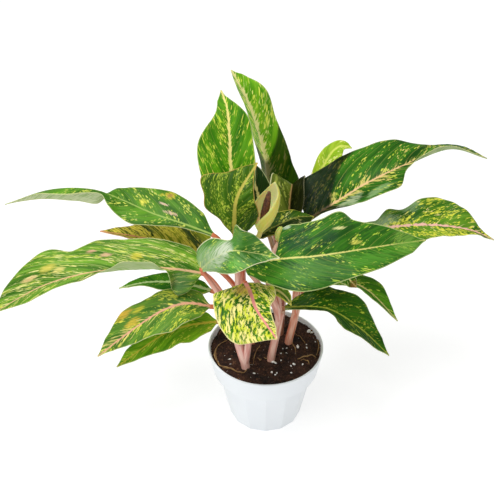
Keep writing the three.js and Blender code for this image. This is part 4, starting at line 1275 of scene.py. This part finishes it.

# Each leaf's own colours and numbers for the leaf skin. slant is how far its veins lean to its tip,
# and gloss how much light it mirrors. Its list of ovals holds its own blotches and some painted sheen
# and painted shade: for each, the share of the midrib and the distance off it where it lies, its
# half length, its half width and its tint.
LOOKS = {
    "leaf_01_upper_left": dict(
        Deep="22520f", Light="5f9424", Fleck="c8d05a", Flecks=0.42, Streaks=0.25, Streak="d8d98a",
        Rib="93ac52", Rib_Width=0.7, Feather=0.2, Under="c4cca4",
        marks=[
            (0.29, 24, 6, 5, "d9c23e"), (0.29, 24, 3.4, 2.8, "8a5f45"), (0.4, 7, 5, 4, "d6d04a"),
            (0.3, 13, 6, 1.6, "e4c3ac"), (0.25, 6, 8, 2, "dcbb9e"), (0.33, 22, 3, 2, "d9c23e"),
        ],
    ),
    "leaf_02_mid_left": dict(
        Deep="263c06", Light="848e18", Fleck="d8ca44", Streak="cdbb48", Flecks=1.0, Fleck_Pull=0.9,
        Streaks=0.75, Streak_Reach=50, Rib="c98a5c", Margin="d9a08a",
    ),
    "leaf_03_long_left": dict(
        Deep="22560f", Light="72a22e", Fleck="cdd458", Streak="e2dc92", Flecks=0.72, Fleck_Pull=0.95,
        Streaks=0.35, Streak_Reach=40, Rib="d6ae82", Rib_Width=1.0, Feather=0.2, Vein_Tint=0.6,
        slant=2.6,
        marks=[
            (0.56, 20, 5, 2, "e0a98c"), (0.5, 15, 6, 2, "dfae8e"), (0.36, 12, 7, 4, "d3c63e"),
            (0.75, 15, 8, 4, "d9c85a"), (0.71, 10, 6, 3, "e3d27c"), (0.83, 12, 7, 3, "dcb882"),
            # painted shade: the last oval, dark green, darkens the lobe that hangs in shadow at the base
            (0.12, -17, 16, 17, "547a48"),
        ],
    ),
    "leaf_04_small_left": dict(Deep="1f5a06", Light="4f8f14", Flecks=0.35, Rib="b4c98a"),
    "leaf_05_front_pale": dict(
        Deep="28621a", Light="82b058", Fleck="c4d45a", Flecks=0.45, Rib="c4cc78", Rib_Width=0.7,
        Feather=0.3, Tone=0.42, Margin="e0ddb4", Margin_Width=0.7, gloss=0.17,
        marks=[
            # painted sheen: the three grey-white ovals below stand in for a reflection on the left part
            (0.14, 0, 16, 16, "8da47c"), (0.34, 0, 16, 12, "a9b898"), (0.42, -4, 12, 7, "c6ceb6"),
            (0.68, -18, 13, 13, "3c7c22"), (0.6, -8, 9, 9, "4e8e30"), (0.6, 15, 14, 6, "66a63e"),
        ],
    ),
    "leaf_06_front_hanging": dict(
        Deep="1a4c0c", Light="4a8618", Fleck="c8d036", Streak="e8da88", Flecks=0.9, Fleck_Size=0.8,
        Mosaic=0.6, Streak_Reach=10, Rib="d98a82", Rib_Width=2.1, Feather=0.15,
        Margin="e2d998", Margin_Width=0.9,
        marks=[(0.2, 6, 12, 8, "ddb25c")],
    ),
    "leaf_07_front_right": dict(
        Deep="0e3a10", Light="3f7e18", Fleck="aac83e", Streak="d8d666", Flecks=0.38, Streaks=0.12,
        Rib="cfc872", Rib_Width=0.7, Feather=0.6, Margin="b3c07a", Margin_Width=0.7, Vein_Tint=0.25,
        slant=1.4, gloss=0.14,
        marks=[
            (0.32, 15, 34, 12, "467a26"), (0.68, 11, 26, 8, "52902c"), (0.53, -22, 6, 1.6, "e2dc96"),
            (0.88, 0, 16, 14, "6f9c3c"), (0.6, -7, 7, 2, "d6d05c"), (0.23, -30, 6, 2.5, "c2ccb8"),
            # painted shadow: the last two ovals, near-black, darken the upper half where its fold shades it
            (0.3, -14, 20, 9, "123c22"), (0.47, -16, 9, 8, "163f1c"),
        ],
    ),
    "leaf_08_right": dict(
        Deep="1e5010", Light="5e8c20", Fleck="d6d644", Streak="dfcf8a", Flecks=0.95, Fleck_Size=1.1,
        Streaks=0.45, Mosaic=0.26, Rib="e2b0a0", Feather=0.9,
        # painted sheen: both ovals are a grey-white glare on the left half
        marks=[(0.33, -9, 14, 8, "8ba07a"), (0.45, -20, 12, 6, "7f9a6c")],
    ),
    "leaf_09_upper_right": dict(
        Deep="143f08", Light="3c7a18", Fleck="b8c83c", Streak="d3c46c", Flecks=0.5, Fleck_Size=1.15,
        Streaks=0.65, Streak_Reach=16, Rib="d6b47e", Rib_Width=0.9, Feather=0.8, Base_Shade=0.88,
        Shade_Reach=30, Vein_Tint=0.3, gloss=0.08,
        # painted sheen: both ovals are a pale grey glare on the near half by the base
        marks=[(0.27, 9, 16, 5, "a4b28a"), (0.42, 17, 14, 5, "86a66c")],
    ),
    "leaf_10_lime_behind": dict(
        Deep="6f9a10", Light="a2bd2e", Fleck="ccd85c", Flecks=0.5, Rib="c5cf5c",
    ),
    "leaf_11_centre_back": dict(
        Deep="34480c", Light="72802c", Fleck="a6b04c", Flecks=0.4, Rib="a98a50", Margin="dcd8a6",
        Margin_Width=0.9, Right_Shade=0.9, gloss=0.06,
    ),
    "leaf_12_top": dict(
        Deep="357d08", Light="7cb41e", Fleck="d2dc52", Streak="e3e08c", Flecks=0.66, Fleck_Size=1.3,
        Fleck_Pull=0.8, Streaks=0.6, Rib="d8d488", Rib_Width=2.0, Feather=1.1, Base_Shade=0.78,
        Shade_Reach=46,
    ),
    "leaf_13_upper_centre": dict(
        Deep="276408", Light="5a9612", Fleck="b8d03c", Streak="dcd25c", Flecks=0.6, Streaks=0.35,
        Rib="dcd07a", Rib_Width=1.2, Feather=1.1, Fleck_Pull=0.85, slant=1.7,
    ),
    "leaf_14_centre_front": dict(
        Deep="1b3f05", Light="426806", Fleck="9db038", Streak="b9bc4a", Flecks=0.75, Fleck_Size=0.55,
        Streaks=0.1, Rib="aca246", Rib_Width=2.2, Feather=0.15, Margin="b9944f", Margin_Width=0.6,
    ),
    "leaf_15_centre_behind": dict(Deep="1c3612", Light="3c5620", Flecks=0.15),
    "leaf_16_brown_tip": dict(
        Deep="225806", Light="4f8816", Flecks=0.4, marks=[(1.0, 0, 9, 9, "8a4f2c")],
    ),
    "leaf_17_edge_on": dict(
        Deep="1b3a08", Light="3c5e0f", Fleck="b4b83f", Flecks=0.5, Margin="c4bc4c", Margin_Width=0.9,
        Rib="8c8f3e", Rib_Width=0.6, Right_Shade=0.6,
    ),
    "leaf_18_lower_left": dict(
        Deep="2a5a18", Light="6c9632", Fleck="ccd048", Streak="e2d07c", Flecks=0.72, Streaks=0.65,
        Rib="d6a080", Rib_Width=1.3, Feather=0.6, slant=1.7,
        marks=[(0.73, 19, 9, 5, "d8a83c"), (0.7, 6, 8, 4, "d8b43f"), (0.62, 14, 6, 3, "ccc23c")],
    ),
    "leaf_19_bottom_left": dict(
        Deep="3d7a08", Light="8cc024", Fleck="d0da46", Streak="d8ce54", Flecks=0.55, Streaks=0.5,
        Rib="c9bd40", Rib_Width=1.1, slant=1.7,
    ),
    "leaf_20_lower_right": dict(
        Deep="174404", Light="386e08", Fleck="b0c038", Streak="b8b63c", Flecks=0.45, Streaks=0.4,
        Rib="a9b340", Rib_Width=1.1, Feather=0.4, slant=1.6, Base_Shade=0.3, Shade_Reach=25,
    ),
    "leaf_21_right_behind": dict(
        Deep="245a06", Light="558c14", Fleck="b8c84a", Flecks=0.45, slant=1.6,
    ),
    "leaf_22_young_front": dict(
        Deep="285206", Light="5f8420", Fleck="ccc84c", Flecks=0.6, Margin="d2ca50", Margin_Width=1.0,
    ),
}

def add_blotches_and_painted_light(tree, skin, marks, length):
    """Adds one leaf's own blotches and its painted sheen and shade, each a ragged oval on its upper side.
    """
    plus, minus, times = arithmetic(tree)
    vein_place = numbered(tree, "vein_place")
    share = split(tree, numbered(tree, "leaf_place"))[0]
    off, under = split(tree, vein_place)[1:]
    ragged = maths(tree, "MULTIPLY_ADD", streak(tree, vein_place, 2, 4, Detail=4), 4.5, -1.4)
    for middle, side, long, wide, code in marks:
        u = times(minus(share, middle), length / long)
        v = times(minus(off, side), 1 / wide)
        inside = minus(ragged, plus(times(u, u), times(v, v)))
        shown = times(rise(tree, inside, -0.4, 0.9), minus(1, under), 0.75)
        skin = blend_colours(tree, shown, skin, colour(code))
    return skin


def leaf_finish(name, look, seed, length):
    """The leaf skin with one leaf's own colours, numbers and marks."""
    material, tree, shader = finish(f"{name}_skin", Specular_IOR_Level=look.get("gloss", LEAF_GLOSS))
    made = wire(tree, "ShaderNodeGroup", node_tree=leaf_skin)
    given = {key.replace("_", " "): value for key, value in look.items()}
    for socket, code in SKIN_COLOURS.items():
        made.inputs[socket].default_value = colour(given.get(socket, code))
    for socket, value in SKIN_NUMBERS.items():
        made.inputs[socket].default_value = given.get(socket, value)
    made.inputs["Seed"].default_value = seed
    marked = add_blotches_and_painted_light(tree, made.outputs["Colour"], look.get("marks", []), length)
    tree.links.new(marked, shader.inputs["Base Color"])
    tree.links.new(made.outputs["Roughness"], shader.inputs["Roughness"])
    add_bump(tree, shader, made.outputs["Height"], 0.4, 0.6)
    return material


for seed, (name, leaf) in enumerate(LEAVES.items(), 1):
    look = LOOKS[name]
    points, leaf_place, vein_place, length = blade(leaf, look.get("slant", VEIN_SLANT))
    title = name.split("_", 2)[2] + "_blade"
    skin = leaf_finish(title, look, seed, length)
    made = mesh_object(title, points, shell_faces(ROWS, COLUMNS), skin)
    number(made.data, "leaf_place", leaf_place)
    number(made.data, "vein_place", vein_place)
    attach(made, "root")
    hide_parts(name)

# ---- The flower and the bud ---------------------------------------------------------------------
# An arum's flower: one pale fleshy hood, the spathe, is rolled round a dried brown spike, the
# spadix, and opens towards the front. Beside it is a bud, still rolled shut round its own spike.

SPATHE_AXIS = [(-6, 7.5, 221), (-3.5, 10.5, 231), (1, 14, 245), (5, 18, 257), (7.2, 20, 268)]
SPATHE_FACE = (-0.75, -0.6, 0.4)
SPATHE_RADII = [2.6, 7.2, 9.6, 10.2, 9, 6, 0.6]
SPATHE_MOUTHS = [0, 0, 55, 110, 150, 190, 200]
SPATHE_THICKNESS = 1.1
SPATHE_FLARE = 0.16
SPATHE_LAP = 0.05
SPATHE_RIPPLE = 0.35
SPATHE_RIPPLES = 14
SPATHE_THINNING = 0.55
SPATHE_ROWS = 60
SPATHE_COLUMNS = 49
SPIKE_FOOT = 0.03
SPIKE_SPAN = 0.95
SPADIX_ROUTE = [(-5.5, 8.5, 223.5), (-1.5, 11, 243), (2.1, 13.5, 262)]
SPADIX_RADIUS = 3.5
SPADIX_ROWS = 90
SPADIX_SIDES = 40
KNOB_HEIGHT = 0.28
KNOB_PACE = 34
KNOB_ROUNDS = 4
BUD_ROUTE = [(11, 0, 215), (11.8, 1.2, 222), (13.2, 3, 229.5)]
BUD_RADIUS = 4.3
BUD_ROWS = 50
BUD_SIDES = 36
BUD_LAP = 0.45
BUD_LAP_START = 0.1
BUD_LAP_CLIMB = 0.8


def spathe_shell():
    """The points of the hood's outer and inner skins, and the vector that its material reads."""
    share = np.linspace(0, 1, SPATHE_ROWS)
    axis = spline(SPATHE_AXIS, share)
    heading = unit(np.gradient(axis, axis=0))
    face = unit(np.array(SPATHE_FACE) - heading * (heading @ SPATHE_FACE)[:, None])
    side = np.cross(heading, face)
    radius = spline(np.array(SPATHE_RADII)[:, None], share)
    mouth = np.radians(spline(np.array(SPATHE_MOUTHS)[:, None], share)) / 2
    share = share[:, None]
    turn = np.linspace(-1, 1, SPATHE_COLUMNS)[None, :]
    angle = np.pi + turn * (np.pi - np.maximum(mouth, 0))
    flare = 1 + SPATHE_FLARE * np.abs(turn) ** 6 * np.sin(np.pi * share)
    lap = 1 + SPATHE_LAP * turn
    ripple = SPATHE_RIPPLE * np.abs(turn) ** 4 * np.sin(SPATHE_RIPPLES * share + 1)
    out = around(angle, face, side)
    outer = np.maximum(radius * flare * lap + ripple, 0.3)
    thick = SPATHE_THICKNESS * (1 - SPATHE_THINNING * np.abs(turn) ** 6)
    inner = np.maximum(outer - thick, 0.1)
    skins = [axis[:, None, :] + out * reach[:, :, None] for reach in (outer, inner)]
    flat = np.zeros((SPATHE_ROWS, SPATHE_COLUMNS))
    place = [np.dstack([flat + turn, flat + share, flat + within]) for within in (0, 1)]
    return np.array(skins).reshape(-1, 3), np.array(place)


def flower_finish(name, outside, inside, edge):
    """A fleshy petal: fine veins along it, and other tints within and along its edge."""
    flesh = {"Subsurface_Weight": 0.5, "Subsurface_Scale": 4 * MM}
    material, tree, shader = finish(name, 0.45, Specular_IOR_Level=0.3, **flesh)
    place = numbered(tree, "petal_place")
    turn, _, within = split(tree, place)
    veins = streak(tree, place, 0.07, 1.4, Detail=3)
    base = blend_colours(tree, rise(tree, veins, 0.35, 0.7), colour(outside), colour(edge))
    base = blend_colours(tree, within, base, colour(inside))
    rim = rise(tree, maths(tree, "ABSOLUTE", turn), 0.8, 1)
    base = blend_colours(tree, maths(tree, "MULTIPLY", rim, 0.8), base, colour(edge))
    tree.links.new(base, shader.inputs["Base Color"])
    add_bump(tree, shader, veins, 0.35, 0.4)
    return material


points, place = spathe_shell()
petal = flower_finish("spathe_skin", "d3cd50", "fbf5b8", "e0dc80")
spathe = mesh_object("spathe_hood", points, shell_faces(SPATHE_ROWS, SPATHE_COLUMNS), petal)
number(spathe.data, "petal_place", place)
face_outwards(spathe)
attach(spathe, "root")
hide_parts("spathe")


def spindle(route, radius, rows, sides, bulge):
    """A rounded spike along its route. bulge(share, turn) is added to its radius."""
    share = np.linspace(0, 1, rows)
    turns = 2 * np.pi * np.arange(sides) / sides
    plump = radius * np.sqrt(np.sin(np.pi * (SPIKE_FOOT + SPIKE_SPAN * share)))[:, None]
    radii = np.maximum(plump + bulge(share[:, None], turns[None, :]), 0.3)
    return tube(spline(route, share), radii, sides)


def knobs(share, turn):
    """Rows of small knobs that cross in two spirals."""
    up, about = KNOB_PACE * share, KNOB_ROUNDS * turn
    return KNOB_HEIGHT * np.abs(np.sin(up + about) * np.sin(up - about))


dried, tree, shader = finish("spadix_brown", 0.7)
mottle = solid_noise(tree, 500, 4)
shade_between(tree, shader, mottle, "3f1c10", "84512f", 0.35, 0.75)
add_bump(tree, shader, mottle, 0.5, 0.5)
points, faces = spindle(SPADIX_ROUTE, SPADIX_RADIUS, SPADIX_ROWS, SPADIX_SIDES, knobs)
spadix = mesh_object("spadix_spike", points, faces, dried)
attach(spadix, "root")
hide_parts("spadix")


def lapped_edge(share, turn):
    """The edge of the rolled spathe, which climbs round the bud as a low step."""
    beyond = (turn / (2 * math.pi) - BUD_LAP_CLIMB * share - BUD_LAP_START) % 1
    return BUD_LAP * (1 - beyond)


points, faces = spindle(BUD_ROUTE, BUD_RADIUS, BUD_ROWS, BUD_SIDES, lapped_edge)
petal = flower_finish("bud_skin", "98a040", "c9c56c", "bfc068")
bud = mesh_object("flower_bud_roll", points, faces, petal)
share = np.repeat(np.linspace(0, 1, BUD_ROWS), BUD_SIDES)
turn = np.tile(np.linspace(-0.7, 0.7, BUD_SIDES), BUD_ROWS)
place = np.column_stack([turn, share, share * 0])
number(bud.data, "petal_place", np.vstack([place, place[:1], place[-1:]]))
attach(bud, "root")
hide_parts("flower_bud")
